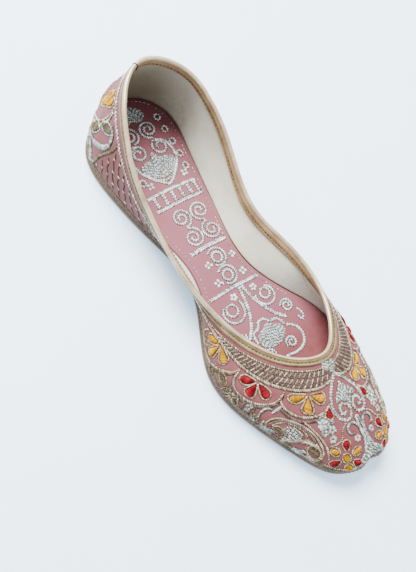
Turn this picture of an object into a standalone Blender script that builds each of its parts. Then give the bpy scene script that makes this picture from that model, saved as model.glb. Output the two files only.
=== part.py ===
"""A flat mojari shoe for the right foot: outsole, welt, upper, insole and collar binding.

Metres, +Z up. The toe points to -Y and the inner side of the foot is at +X. A place on the shoe
is a turn from 0 to 1: 0 at the heel's middle, through the outer side to 0.5 at the toe's middle,
and back through the inner side. Each table has a row for each of eleven stations, evenly spaced
in turn from the heel's middle to the toe's middle.
"""

from collections import namedtuple

import bpy
import numpy as np
from mathutils import Matrix, Vector

# Driving sizes of the sole
LENGTH = 0.250
HEEL_WIDTH = 0.062
WAIST_WIDTH = 0.041
BALL_WIDTH = 0.079
TOE_WIDTH = 0.056
TOE_SWING = 0.0116
TOE_NOTCH = 0.0024
NOTCH_REACH = 0.0085
SOLE_THICKNESS = 0.0034
SOLE_BEVEL = 0.0006
ARCH_LIFT = 0.0015
TOE_SPRING = 0.006

# Driving sizes of the upper; the heights are above the welt
WALL = 0.0016
UPPER_INSET = 0.0010
VAMP_LENGTH = 0.062
HEEL_LEAN = 0.0095
COLLAR_WIDTH = 0.064
HEEL_HEIGHT = 0.048
SIDE_HEIGHT = 0.0185
THROAT_HEIGHT = 0.027
SWELL = 0.0045

# Driving sizes of the smaller pieces
WELT_THICKNESS = 0.0012
WELT_INSET = 0.0003
INSOLE_THICKNESS = 0.0026
INSOLE_BEVEL = 0.0005
BINDING_THICKNESS = 0.0008
BINDING_REACH = 0.0042
SEAM_GAP = 0.0004
BINDING_GAP = 0.0005
GAP = 0.0003

# Shares of the sole's length where the arch and the toe spring begin and end
ARCH_FROM, ARCH_TO = 0.28, 0.60
SPRING_FROM = 0.74
SWING_FROM = 0.40

# Fineness of the meshes
AROUND = 96
UP_THE_WALL = 11
WALL_CROWDING = 1.25
ROLL_STEPS = 4
LEG_STEPS = 2
TINY = 1e-4

# Half widths of the sole, as shares of the width that each row follows
SoleRow = namedtuple("SoleRow", "width outer inner")
SOLE = (
    SoleRow(HEEL_WIDTH, 0.00, 0.00),
    SoleRow(HEEL_WIDTH, 0.22, 0.28),
    SoleRow(HEEL_WIDTH, 0.49, 0.46),
    SoleRow(HEEL_WIDTH, 0.52, 0.42),
    SoleRow(WAIST_WIDTH, 0.61, 0.50),
    SoleRow(WAIST_WIDTH, 0.53, 0.465),
    SoleRow(BALL_WIDTH, 0.50, 0.495),
    SoleRow(BALL_WIDTH, 0.47, 0.48),
    SoleRow(TOE_WIDTH, 0.50, 0.525),
    SoleRow(TOE_WIDTH, 0.33, 0.31),
    SoleRow(TOE_WIDTH, 0.00, 0.00),
)

# The collar's edge: along is a share of the opening's length, outer and inner are shares of the
# collar's width, and heel and throat are shares of the rise from the side's height to theirs
CollarRow = namedtuple("CollarRow", "along outer inner heel throat")
COLLAR = (
    CollarRow(0.000, -0.050, 0.050, 1.00, 0.00),
    CollarRow(0.060, 0.220, 0.345, 0.93, 0.00),
    CollarRow(0.165, 0.378, 0.460, 0.76, 0.00),
    CollarRow(0.283, 0.468, 0.490, 0.47, 0.00),
    CollarRow(0.409, 0.482, 0.450, 0.18, 0.00),
    CollarRow(0.535, 0.492, 0.433, 0.03, 0.00),
    CollarRow(0.658, 0.470, 0.528, 0.00, 0.00),
    CollarRow(0.782, 0.390, 0.576, 0.00, 0.13),
    CollarRow(0.888, 0.262, 0.503, 0.00, 0.39),
    CollarRow(0.966, 0.075, 0.350, 0.00, 0.72),
    CollarRow(1.000, -0.156, 0.156, 0.00, 1.00),
)

# How the wall runs from the sole's edge to the collar: lag is how far the collar's station is
# ahead of the sole's, lift and swell place the lower handle of the curve, as shares of the wall's
# height and of SWELL, and reach and drop place the upper handle, as shares of the way out to the
# sole's edge and of the height
WallRow = namedtuple("WallRow", "lag lift swell reach drop")
WALLS = (
    WallRow(0.000, 0.38, 1.00, 0.30, 0.40),
    WallRow(-0.045, 0.38, 0.90, 0.30, 0.40),
    WallRow(-0.070, 0.36, 0.70, 0.30, 0.40),
    WallRow(-0.040, 0.33, 0.60, 0.30, 0.38),
    WallRow(0.020, 0.30, 0.70, 0.25, 0.36),
    WallRow(0.085, 0.34, 0.80, 0.25, 0.36),
    WallRow(0.135, 0.50, 0.80, 0.30, 0.30),
    WallRow(0.145, 0.55, 0.80, 0.40, 0.22),
    WallRow(0.115, 0.52, 0.72, 0.44, 0.18),
    WallRow(0.065, 0.50, 0.66, 0.46, 0.18),
    WallRow(0.000, 0.50, 0.58, 0.46, 0.18),
)

Finish = namedtuple("Finish", "colour roughness metallic")
FINISHES = {
    "sole leather": Finish((0.33, 0.20, 0.13), 0.60, 0.0),
    "welt leather": Finish((0.62, 0.47, 0.33), 0.55, 0.0),
    "pink cloth": Finish((0.58, 0.30, 0.33), 0.70, 0.0),
    "insole cloth": Finish((0.55, 0.27, 0.32), 0.75, 0.0),
    "cream leather": Finish((0.82, 0.72, 0.58), 0.45, 0.0),
}


def clear_scene():
    for obj in list(bpy.data.objects):
        bpy.data.objects.remove(obj)


def spline_through(outer, inner):
    """Coefficients of the smooth closed curve through the outer rows and back through the inner."""
    points = np.array(list(outer) + list(inner[-2:0:-1]), float)
    steps = np.eye(len(points))
    near = np.roll(steps, 1, axis=0) + np.roll(steps, -1, axis=0)
    return np.linalg.solve((4 * steps + near) / 6, points)


def on_spline(coefficients, turns):
    """Values of the closed curve at the turns."""
    count = len(coefficients)
    whole = np.floor(turns * count).astype(int)
    part = turns * count - whole
    weights = (
        (1 - part) ** 3,
        3 * part**3 - 6 * part**2 + 4,
        -3 * part**3 + 3 * part**2 + 3 * part + 1,
        part**3,
    )
    terms = [
        (weight / 6)[..., None] * coefficients[(whole + k - 1) % count]
        for k, weight in enumerate(weights)
    ]
    return sum(terms)


SOLE_CURVE = spline_through(
    [(-row.outer * row.width,) for row in SOLE],
    [(row.inner * row.width,) for row in SOLE],
)
COLLAR_CURVE = spline_through(
    [(row.along, -row.outer, row.heel, row.throat) for row in COLLAR],
    [(row.along, row.inner, row.heel, row.throat) for row in COLLAR],
)
WALL_CURVE = spline_through(
    [(row.lag, row.lift, row.swell, row.reach, row.drop) for row in WALLS],
    [(-row.lag, row.lift, row.swell, row.reach, row.drop) for row in WALLS],
)


def length_share(turns):
    """How far along the sole a turn lies, from 0 at the heel's back to 1 at the toe."""
    return (1 - np.cos(2 * np.pi * turns)) / 2


def ground(share):
    """Height of the sole's underside: flat at heel and ball, lifted at the arch and the toe."""
    along_arch = np.clip((share - ARCH_FROM) / (ARCH_TO - ARCH_FROM), 0, 1)
    along_toe = np.clip((share - SPRING_FROM) / (1 - SPRING_FROM), 0, 1)
    return ARCH_LIFT * (1 - np.cos(2 * np.pi * along_arch)) / 2 + TOE_SPRING * along_toe**2


def edge_plan(turns):
    """The sole's outline in plan, with the small notch in the middle of the toe."""
    share = length_share(turns)
    half = on_spline(SOLE_CURVE, turns)[..., 0]
    swing = TOE_SWING * np.clip((share - SWING_FROM) / (1 - SWING_FROM), 0, 1) ** 2
    near_middle = np.clip(np.abs(half) / NOTCH_REACH, 0, 1)
    notch = np.where(share > 0.5, TOE_NOTCH * (1 + np.cos(np.pi * near_middle)) / 2, 0)
    return np.stack([half + swing, LENGTH * (0.5 - share) + notch], axis=-1)


def edge_outward(turns):
    """Unit vectors in plan that point out of the sole's outline."""
    along = edge_plan(turns + TINY) - edge_plan(turns - TINY)
    out = np.stack([along[..., 1], -along[..., 0]], axis=-1)
    return out / np.linalg.norm(out, axis=-1, keepdims=True)


def edge_at(turns, inset, height):
    """Points that lie an inset inside the sole's outline and a height above its underside."""
    plan = edge_plan(turns) - inset * edge_outward(turns)
    rise = ground(length_share(turns)) + height
    return np.concatenate([plan, rise[..., None]], axis=-1)


def collar_at(turns):
    """The upper's top edge."""
    along, across, heel, throat = np.moveaxis(on_spline(COLLAR_CURVE, turns), -1, 0)
    opening = LENGTH - VAMP_LENGTH - HEEL_LEAN
    back = HEEL_LEAN + opening * along
    rise = SIDE_HEIGHT + heel * (HEEL_HEIGHT - SIDE_HEIGHT) + throat * (THROAT_HEIGHT - SIDE_HEIGHT)
    floor = ground(back / LENGTH) + foot_height()
    return np.stack([across * COLLAR_WIDTH, LENGTH / 2 - back, floor + rise], axis=-1)


def foot_height():
    """Where the upper stands, above the sole's underside."""
    return SOLE_THICKNESS + GAP + WELT_THICKNESS + GAP


def wall_at(turns, up):
    """The upper's outer face: up is 0 at the welt and 1 at the collar's edge."""
    turns, up = np.broadcast_arrays(np.asarray(turns, float), np.asarray(up, float))
    lag, lift, swell, reach, drop = np.moveaxis(on_spline(WALL_CURVE, turns), -1, 0)
    foot = edge_at(turns, UPPER_INSET, foot_height())
    top = collar_at(turns + lag / 2)
    rise = (top - foot)[..., 2]
    out = np.concatenate([edge_outward(turns), np.zeros(turns.shape + (1,))], axis=-1)
    lower = foot + (SWELL * swell)[..., None] * out
    lower[..., 2] += lift * rise
    upper = top + reach[..., None] * (foot - top)
    upper[..., 2] = top[..., 2] - drop * rise
    t = up[..., None]
    return (1 - t) ** 3 * foot + 3 * t * (1 - t) ** 2 * lower + 3 * t**2 * (1 - t) * upper + t**3 * top


def wall_out(turns, up):
    """Unit vectors that point out of the upper's outer face."""
    along = wall_at(turns + TINY, up) - wall_at(turns - TINY, up)
    climb = wall_at(turns, up + TINY) - wall_at(turns, up - TINY)
    out = np.cross(along, climb)
    return out / np.linalg.norm(out, axis=-1, keepdims=True)


def turns_around():
    return np.arange(AROUND) / AROUND


def make_object(name, vertices, faces, finish, parts):
    mesh = bpy.data.meshes.new(name)
    mesh.from_pydata([tuple(point) for point in vertices], [], faces)
    mesh.materials.append(make_material(finish))
    mesh.shade_smooth()
    obj = bpy.data.objects.new(name, mesh)
    parts.objects.link(obj)
    return obj


def make_material(name):
    finish = FINISHES[name]
    material = bpy.data.materials.new(name)
    material.use_nodes = True
    shader = material.node_tree.nodes["Principled BSDF"]
    shader.inputs["Base Color"].default_value = (*finish.colour, 1)
    shader.inputs["Roughness"].default_value = finish.roughness
    shader.inputs["Metallic"].default_value = finish.metallic
    return material


def strip_faces(rows, columns, closed):
    """Quads of a grid of points whose rows run around the shoe; closed joins the last column."""
    faces = []
    for row in range(rows - 1):
        for column in range(columns if closed else columns - 1):
            after = (column + 1) % columns
            below, above = row * columns, (row + 1) * columns
            faces.append((below + column, below + after, above + after, above + column))
    return faces


def thicken(obj, thickness, offset):
    solid = obj.modifiers.new("Thickness", "SOLIDIFY")
    solid.thickness = thickness
    solid.offset = offset
    solid.use_even_offset = True


def soften(obj, width):
    bevel = obj.modifiers.new("Soft edge", "BEVEL")
    bevel.width = width
    bevel.segments = 1
    bevel.limit_method = "ANGLE"
    bevel.angle_limit = np.radians(60)


def make_plate(name, inset, height, thickness, bevel, finish, parts):
    """A plate with the sole's outline, drawn in by an inset, from a height above the underside."""
    half = AROUND // 2
    turns = turns_around()
    edge = edge_at(turns, inset, height)
    spine = (edge[1:half] + edge[:half:-1]) / 2
    share = length_share(turns[1:half])
    front, back = edge[half, 1], edge[0, 1]
    spine[:, 1] = back + (front - back) * share
    vertices = np.concatenate([edge, spine])
    middle = [0] + list(range(AROUND, AROUND + half - 1)) + [half]
    faces = []
    for k in range(half):
        outer = [k, k + 1, middle[k + 1], middle[k]]
        inner = [middle[k], middle[k + 1], (AROUND - k - 1) % AROUND, (AROUND - k) % AROUND]
        faces.append(tuple(dict.fromkeys(outer)))
        faces.append(tuple(dict.fromkeys(inner)))
    obj = make_object(name, vertices, faces, finish, parts)
    thicken(obj, thickness, 1)
    soften(obj, bevel)
    return obj


def make_outsole(parts):
    make_plate("outsole", 0, 0, SOLE_THICKNESS, SOLE_BEVEL, "sole leather", parts)


def make_insole(parts):
    inset = UPPER_INSET + WALL + GAP
    height = SOLE_THICKNESS + GAP
    make_plate("insole", inset, height, INSOLE_THICKNESS, INSOLE_BEVEL, "insole cloth", parts)


def make_welt(parts):
    turns = turns_around()
    height = SOLE_THICKNESS + GAP
    inner = edge_at(turns, UPPER_INSET + WALL, height)
    outer = edge_at(turns, WELT_INSET, height)
    faces = strip_faces(2, AROUND, True)
    obj = make_object("welt", np.concatenate([inner, outer]), faces, "welt leather", parts)
    thicken(obj, WELT_THICKNESS, -1)


def make_upper(parts):
    turns = turns_around()
    rows = [wall_at(turns, up) for up in np.linspace(0, 1, UP_THE_WALL + 1) ** WALL_CROWDING]
    faces = strip_faces(len(rows), AROUND, True)
    obj = make_object("upper", np.concatenate(rows), faces, "pink cloth", parts)
    thicken(obj, WALL, -1)


def binding_profile():
    """Points across the strip: how far it lies up from the collar's edge, and out from the wall."""
    proud = BINDING_GAP + BINDING_THICKNESS
    radius = WALL / 2 + proud
    roll = [
        (radius * np.sin(angle), radius * np.cos(angle) - WALL / 2)
        for angle in np.linspace(0, np.pi, ROLL_STEPS + 1)
    ]
    leg = np.linspace(-BINDING_REACH, 0, LEG_STEPS + 1)[:-1]
    outside = [(rise, proud) for rise in leg]
    inside = [(rise, -WALL - proud) for rise in leg[::-1]]
    return outside + roll + inside


def make_collar_binding(parts):
    """A leather strip folded over the collar's edge, from one side of the heel seam to the other."""
    edge = wall_at(turns_around(), 1)
    girth = np.linalg.norm(edge - np.roll(edge, 1, axis=0), axis=1).sum()
    clear = SEAM_GAP / girth / 2
    turns = np.linspace(clear, 1 - clear, AROUND + 1)
    edge = wall_at(turns, 1)
    out = wall_out(turns, 1)
    step = wall_at(turns, 1) - wall_at(turns, 1 - TINY)
    speed = np.linalg.norm(step, axis=1) / TINY
    climb = step / TINY / speed[:, None]
    rows = []
    for rise, proud in binding_profile():
        if rise < 0:
            up = 1 + rise / speed
            rows.append(wall_at(turns, up) + proud * wall_out(turns, up))
        else:
            rows.append(edge + rise * climb + proud * out)
    faces = strip_faces(len(rows), AROUND + 1, False)
    obj = make_object("collar_binding", np.concatenate(rows), faces, "cream leather", parts)
    thicken(obj, BINDING_THICKNESS, -1)


def stand_at_origin(parts):
    """Moves the meshes so that the shoe stands on Z = 0, centred over the origin."""
    bpy.context.view_layer.update()
    graph = bpy.context.evaluated_depsgraph_get()
    corners = [Vector(c) for obj in parts.objects for c in obj.evaluated_get(graph).bound_box]
    low = Vector(min(c[axis] for c in corners) for axis in range(3))
    high = Vector(max(c[axis] for c in corners) for axis in range(3))
    middle = (low + high) / 2
    for obj in parts.objects:
        obj.data.transform(Matrix.Translation((-middle.x, -middle.y, -low.z)))


def main():
    clear_scene()
    parts = bpy.data.collections.new("mojari shoe")
    bpy.context.scene.collection.children.link(parts)
    make_outsole(parts)
    make_welt(parts)
    make_upper(parts)
    make_insole(parts)
    make_collar_binding(parts)
    stand_at_origin(parts)


main()
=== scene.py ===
"""The looks of the mojari shoe: cloth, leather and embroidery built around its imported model.

Everything is worked out in the same frame and with the same functions as the part's source, in
metres: +Z up, the toe towards -Y, the inner side of the foot at +X. A turn runs from 0 at the
heel's middle through the outer side to 0.5 at the toe's middle, and back through the inner side.
"""

import math
from collections import namedtuple

import bpy
import numpy as np
from mathutils import Matrix, Vector


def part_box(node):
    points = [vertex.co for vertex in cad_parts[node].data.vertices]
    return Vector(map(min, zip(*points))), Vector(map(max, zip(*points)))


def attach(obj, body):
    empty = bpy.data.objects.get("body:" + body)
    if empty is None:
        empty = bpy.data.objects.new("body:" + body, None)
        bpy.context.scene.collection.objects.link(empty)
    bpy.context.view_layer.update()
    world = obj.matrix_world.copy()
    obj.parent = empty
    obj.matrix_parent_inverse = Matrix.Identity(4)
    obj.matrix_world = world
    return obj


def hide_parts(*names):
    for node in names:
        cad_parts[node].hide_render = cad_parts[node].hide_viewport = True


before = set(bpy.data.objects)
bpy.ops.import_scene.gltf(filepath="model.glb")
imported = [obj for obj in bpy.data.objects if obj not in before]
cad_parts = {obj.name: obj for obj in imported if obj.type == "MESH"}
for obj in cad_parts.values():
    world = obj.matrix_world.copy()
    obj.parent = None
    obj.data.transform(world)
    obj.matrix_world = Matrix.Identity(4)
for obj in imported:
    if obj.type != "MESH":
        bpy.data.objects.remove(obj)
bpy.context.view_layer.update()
MM = 0.001
RANDOM = np.random.default_rng(41)

# Sizes of the sole, as in the part's source
LENGTH = 0.250
HEEL_WIDTH = 0.062
WAIST_WIDTH = 0.041
BALL_WIDTH = 0.079
TOE_WIDTH = 0.056
TOE_SWING = 0.0116
TOE_NOTCH = 0.0024
NOTCH_REACH = 0.0085
SOLE_THICKNESS = 0.0034
ARCH_LIFT = 0.0015
TOE_SPRING = 0.006
ARCH_FROM, ARCH_TO = 0.28, 0.60
SPRING_FROM = 0.74
SWING_FROM = 0.40

# Sizes of the upper and the smaller pieces, as in the part's source
WALL = 0.0016
UPPER_INSET = 0.0010
VAMP_LENGTH = 0.062
HEEL_LEAN = 0.0095
COLLAR_WIDTH = 0.064
HEEL_HEIGHT = 0.048
SIDE_HEIGHT = 0.0185
THROAT_HEIGHT = 0.027
SWELL = 0.0045
WELT_THICKNESS = 0.0012
INSOLE_THICKNESS = 0.0026
GAP = 0.0003
TINY = 1e-4

# Half widths of the sole, as shares of the width that each row follows
SoleRow = namedtuple("SoleRow", "width outer inner")
SOLE = (
    SoleRow(HEEL_WIDTH, 0.00, 0.00),
    SoleRow(HEEL_WIDTH, 0.22, 0.28),
    SoleRow(HEEL_WIDTH, 0.49, 0.46),
    SoleRow(HEEL_WIDTH, 0.52, 0.42),
    SoleRow(WAIST_WIDTH, 0.61, 0.50),
    SoleRow(WAIST_WIDTH, 0.53, 0.465),
    SoleRow(BALL_WIDTH, 0.50, 0.495),
    SoleRow(BALL_WIDTH, 0.47, 0.48),
    SoleRow(TOE_WIDTH, 0.50, 0.525),
    SoleRow(TOE_WIDTH, 0.33, 0.31),
    SoleRow(TOE_WIDTH, 0.00, 0.00),
)

# The collar's edge, as in the part's source
CollarRow = namedtuple("CollarRow", "along outer inner heel throat")
COLLAR = (
    CollarRow(0.000, -0.050, 0.050, 1.00, 0.00),
    CollarRow(0.060, 0.220, 0.345, 0.93, 0.00),
    CollarRow(0.165, 0.378, 0.460, 0.76, 0.00),
    CollarRow(0.283, 0.468, 0.490, 0.47, 0.00),
    CollarRow(0.409, 0.482, 0.450, 0.18, 0.00),
    CollarRow(0.535, 0.492, 0.433, 0.03, 0.00),
    CollarRow(0.658, 0.470, 0.528, 0.00, 0.00),
    CollarRow(0.782, 0.390, 0.576, 0.00, 0.13),
    CollarRow(0.888, 0.262, 0.503, 0.00, 0.39),
    CollarRow(0.966, 0.075, 0.350, 0.00, 0.72),
    CollarRow(1.000, -0.156, 0.156, 0.00, 1.00),
)

# How the wall runs from the sole's edge to the collar, as in the part's source
WallRow = namedtuple("WallRow", "lag lift swell reach drop")
WALLS = (
    WallRow(0.000, 0.38, 1.00, 0.30, 0.40),
    WallRow(-0.045, 0.38, 0.90, 0.30, 0.40),
    WallRow(-0.070, 0.36, 0.70, 0.30, 0.40),
    WallRow(-0.040, 0.33, 0.60, 0.30, 0.38),
    WallRow(0.020, 0.30, 0.70, 0.25, 0.36),
    WallRow(0.085, 0.34, 0.80, 0.25, 0.36),
    WallRow(0.135, 0.50, 0.80, 0.30, 0.30),
    WallRow(0.145, 0.55, 0.80, 0.40, 0.22),
    WallRow(0.115, 0.52, 0.72, 0.44, 0.18),
    WallRow(0.065, 0.50, 0.66, 0.46, 0.18),
    WallRow(0.000, 0.50, 0.58, 0.46, 0.18),
)

# Fineness of the meshes
AROUND = 480
UP_THE_WALL = 44

# Length that a whole turn stands for where the cloth's threads and the sole's border are laid out
AROUND_IN_MM = 600.0


# The shape of the shoe, as in the part's source


def spline_through(outer, inner):
    """Coefficients of the smooth closed curve through the outer rows and back through the inner."""
    points = np.array(list(outer) + list(inner[-2:0:-1]), float)
    steps = np.eye(len(points))
    near = np.roll(steps, 1, axis=0) + np.roll(steps, -1, axis=0)
    return np.linalg.solve((4 * steps + near) / 6, points)


def on_spline(coefficients, turns):
    """Values of the closed curve at the turns."""
    count = len(coefficients)
    whole = np.floor(turns * count).astype(int)
    part = turns * count - whole
    weights = (
        (1 - part) ** 3,
        3 * part**3 - 6 * part**2 + 4,
        -3 * part**3 + 3 * part**2 + 3 * part + 1,
        part**3,
    )
    terms = [
        (weight / 6)[..., None] * coefficients[(whole + k - 1) % count]
        for k, weight in enumerate(weights)
    ]
    return sum(terms)


SOLE_CURVE = spline_through(
    [(-row.outer * row.width,) for row in SOLE],
    [(row.inner * row.width,) for row in SOLE],
)
COLLAR_CURVE = spline_through(
    [(row.along, -row.outer, row.heel, row.throat) for row in COLLAR],
    [(row.along, row.inner, row.heel, row.throat) for row in COLLAR],
)
WALL_CURVE = spline_through(
    [(row.lag, row.lift, row.swell, row.reach, row.drop) for row in WALLS],
    [(-row.lag, row.lift, row.swell, row.reach, row.drop) for row in WALLS],
)


def length_share(turns):
    """How far along the sole a turn lies, from 0 at the heel's back to 1 at the toe."""
    return (1 - np.cos(2 * np.pi * turns)) / 2


def ground(share):
    """Height of the sole's underside: flat at heel and ball, lifted at the arch and the toe."""
    along_arch = np.clip((share - ARCH_FROM) / (ARCH_TO - ARCH_FROM), 0, 1)
    along_toe = np.clip((share - SPRING_FROM) / (1 - SPRING_FROM), 0, 1)
    return ARCH_LIFT * (1 - np.cos(2 * np.pi * along_arch)) / 2 + TOE_SPRING * along_toe**2


def edge_plan(turns):
    """The sole's outline in plan, with the small notch in the middle of the toe."""
    share = length_share(turns)
    half = on_spline(SOLE_CURVE, turns)[..., 0]
    swing = TOE_SWING * np.clip((share - SWING_FROM) / (1 - SWING_FROM), 0, 1) ** 2
    near_middle = np.clip(np.abs(half) / NOTCH_REACH, 0, 1)
    notch = np.where(share > 0.5, TOE_NOTCH * (1 + np.cos(np.pi * near_middle)) / 2, 0)
    return np.stack([half + swing, LENGTH * (0.5 - share) + notch], axis=-1)


def edge_outward(turns):
    """Unit vectors in plan that point out of the sole's outline."""
    along = edge_plan(turns + TINY) - edge_plan(turns - TINY)
    out = np.stack([along[..., 1], -along[..., 0]], axis=-1)
    return out / np.linalg.norm(out, axis=-1, keepdims=True)


def edge_at(turns, inset, height):
    """Points that lie an inset inside the sole's outline and a height above its underside."""
    plan = edge_plan(turns) - inset * edge_outward(turns)
    rise = ground(length_share(turns)) + height
    return np.concatenate([plan, rise[..., None]], axis=-1)


def foot_height():
    """Where the upper stands, above the sole's underside."""
    return SOLE_THICKNESS + GAP + WELT_THICKNESS + GAP


def collar_at(turns):
    """The upper's top edge."""
    along, across, heel, throat = np.moveaxis(on_spline(COLLAR_CURVE, turns), -1, 0)
    opening = LENGTH - VAMP_LENGTH - HEEL_LEAN
    back = HEEL_LEAN + opening * along
    rise = SIDE_HEIGHT + heel * (HEEL_HEIGHT - SIDE_HEIGHT) + throat * (THROAT_HEIGHT - SIDE_HEIGHT)
    floor = ground(back / LENGTH) + foot_height()
    return np.stack([across * COLLAR_WIDTH, LENGTH / 2 - back, floor + rise], axis=-1)


def wall_at(turns, up):
    """The upper's outer face: up is 0 at the welt and 1 at the collar's edge."""
    turns, up = np.broadcast_arrays(np.asarray(turns, float), np.asarray(up, float))
    lag, lift, swell, reach, drop = np.moveaxis(on_spline(WALL_CURVE, turns), -1, 0)
    foot = edge_at(turns, UPPER_INSET, foot_height())
    top = collar_at(turns + lag / 2)
    rise = (top - foot)[..., 2]
    out = np.concatenate([edge_outward(turns), np.zeros(turns.shape + (1,))], axis=-1)
    lower = foot + (SWELL * swell)[..., None] * out
    lower[..., 2] += lift * rise
    upper = top + reach[..., None] * (foot - top)
    upper[..., 2] = top[..., 2] - drop * rise
    t = up[..., None]
    return (1 - t) ** 3 * foot + 3 * t * (1 - t) ** 2 * lower + 3 * t**2 * (1 - t) * upper + t**3 * top


def wall_out(turns, up):
    """Unit vectors that point out of the upper's outer face."""
    along = wall_at(turns + TINY, up) - wall_at(turns - TINY, up)
    climb = wall_at(turns, up + TINY) - wall_at(turns, up - TINY)
    out = np.cross(along, climb)
    return out / np.linalg.norm(out, axis=-1, keepdims=True)


# Where the part's source centres the shoe over the origin
OUTLINE = edge_plan(np.arange(AROUND) / AROUND)
SOLE_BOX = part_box("outsole")
SHIFT = np.array([*(np.array(SOLE_BOX[0][:2]) - OUTLINE.min(axis=0)), 0])


# Small tools


def unit(vectors):
    return vectors / np.maximum(np.linalg.norm(vectors, axis=-1, keepdims=True), 1e-12)


NOISE_SIZE = 24
NOISE_TABLE = RANDOM.uniform(-1, 1, (NOISE_SIZE,) * 3)


def soft_noise(points, cell):
    """Smooth random values from -1 to 1, in a lattice whose cells have the given size."""
    place = points / cell
    low = np.floor(place).astype(int)
    part = place - low
    part = part * part * (3 - 2 * part)
    total = 0
    for corner in np.ndindex(2, 2, 2):
        index = tuple(np.moveaxis((low + corner) % NOISE_SIZE, -1, 0))
        weight = np.prod(np.where(np.array(corner) == 1, part, 1 - part), axis=-1)
        total = total + weight * NOISE_TABLE[index]
    return total


def rounded(values, low, high):
    """Goes smoothly from 0 at low to 1 at high."""
    share = np.clip((values - low) / (high - low), 0, 1)
    return share * share * (3 - 2 * share)


def travelled(path):
    """Distances along a path of points, from 0 at its first point."""
    return np.concatenate([[0], np.cumsum(np.linalg.norm(np.diff(path, axis=0), axis=1))])


def read_at(at, gone, values):
    """Values of a path, which lie at the distances gone, read at other distances."""
    return np.stack([np.interp(at, gone, values[:, k]) for k in range(3)], axis=-1)


def make_piece(name, points, faces, materials, face_materials=None, uv=None, tone=None):
    """A mesh object from points in the part's raw frame; uv and tone hold a value for each point."""
    mesh = bpy.data.meshes.new(name)
    faces = np.asarray(faces)
    corners = faces.shape[1]
    mesh.vertices.add(len(points))
    mesh.vertices.foreach_set("co", (np.asarray(points) + SHIFT).astype(np.float32).ravel())
    mesh.loops.add(faces.size)
    mesh.loops.foreach_set("vertex_index", faces.astype(np.int32).ravel())
    mesh.polygons.add(len(faces))
    mesh.polygons.foreach_set("loop_start", np.arange(0, faces.size, corners, dtype=np.int32))
    mesh.polygons.foreach_set("use_smooth", np.full(len(faces), True))
    for material in materials:
        mesh.materials.append(material)
    if face_materials is not None:
        mesh.polygons.foreach_set("material_index", np.asarray(face_materials, np.int32))
    if uv is not None:
        layer = mesh.uv_layers.new(name="cloth")
        layer.data.foreach_set("uv", np.asarray(uv, np.float32)[faces.ravel()].ravel())
    if tone is not None:
        attribute = mesh.attributes.new("tone", "FLOAT", "POINT")
        attribute.data.foreach_set("value", np.asarray(tone, np.float32))
    mesh.update(calc_edges=True)
    mesh.validate()
    piece = bpy.data.objects.new(name, mesh)
    bpy.context.scene.collection.objects.link(piece)
    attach(piece, "root")
    return piece


def grid_faces(rows, columns, close_rows, close_columns):
    """Quads of a grid of points, each row's columns running on; either way can join up."""
    row = np.arange(rows if close_rows else rows - 1)[:, None]
    column = np.arange(columns if close_columns else columns - 1)[None, :]
    after_row, after_column = (row + 1) % rows, (column + 1) % columns
    corners = (
        row * columns + column,
        row * columns + after_column,
        after_row * columns + after_column,
        after_row * columns + column,
    )
    return np.stack(np.broadcast_arrays(*corners), axis=-1).reshape(-1, 4)


# Materials


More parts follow.
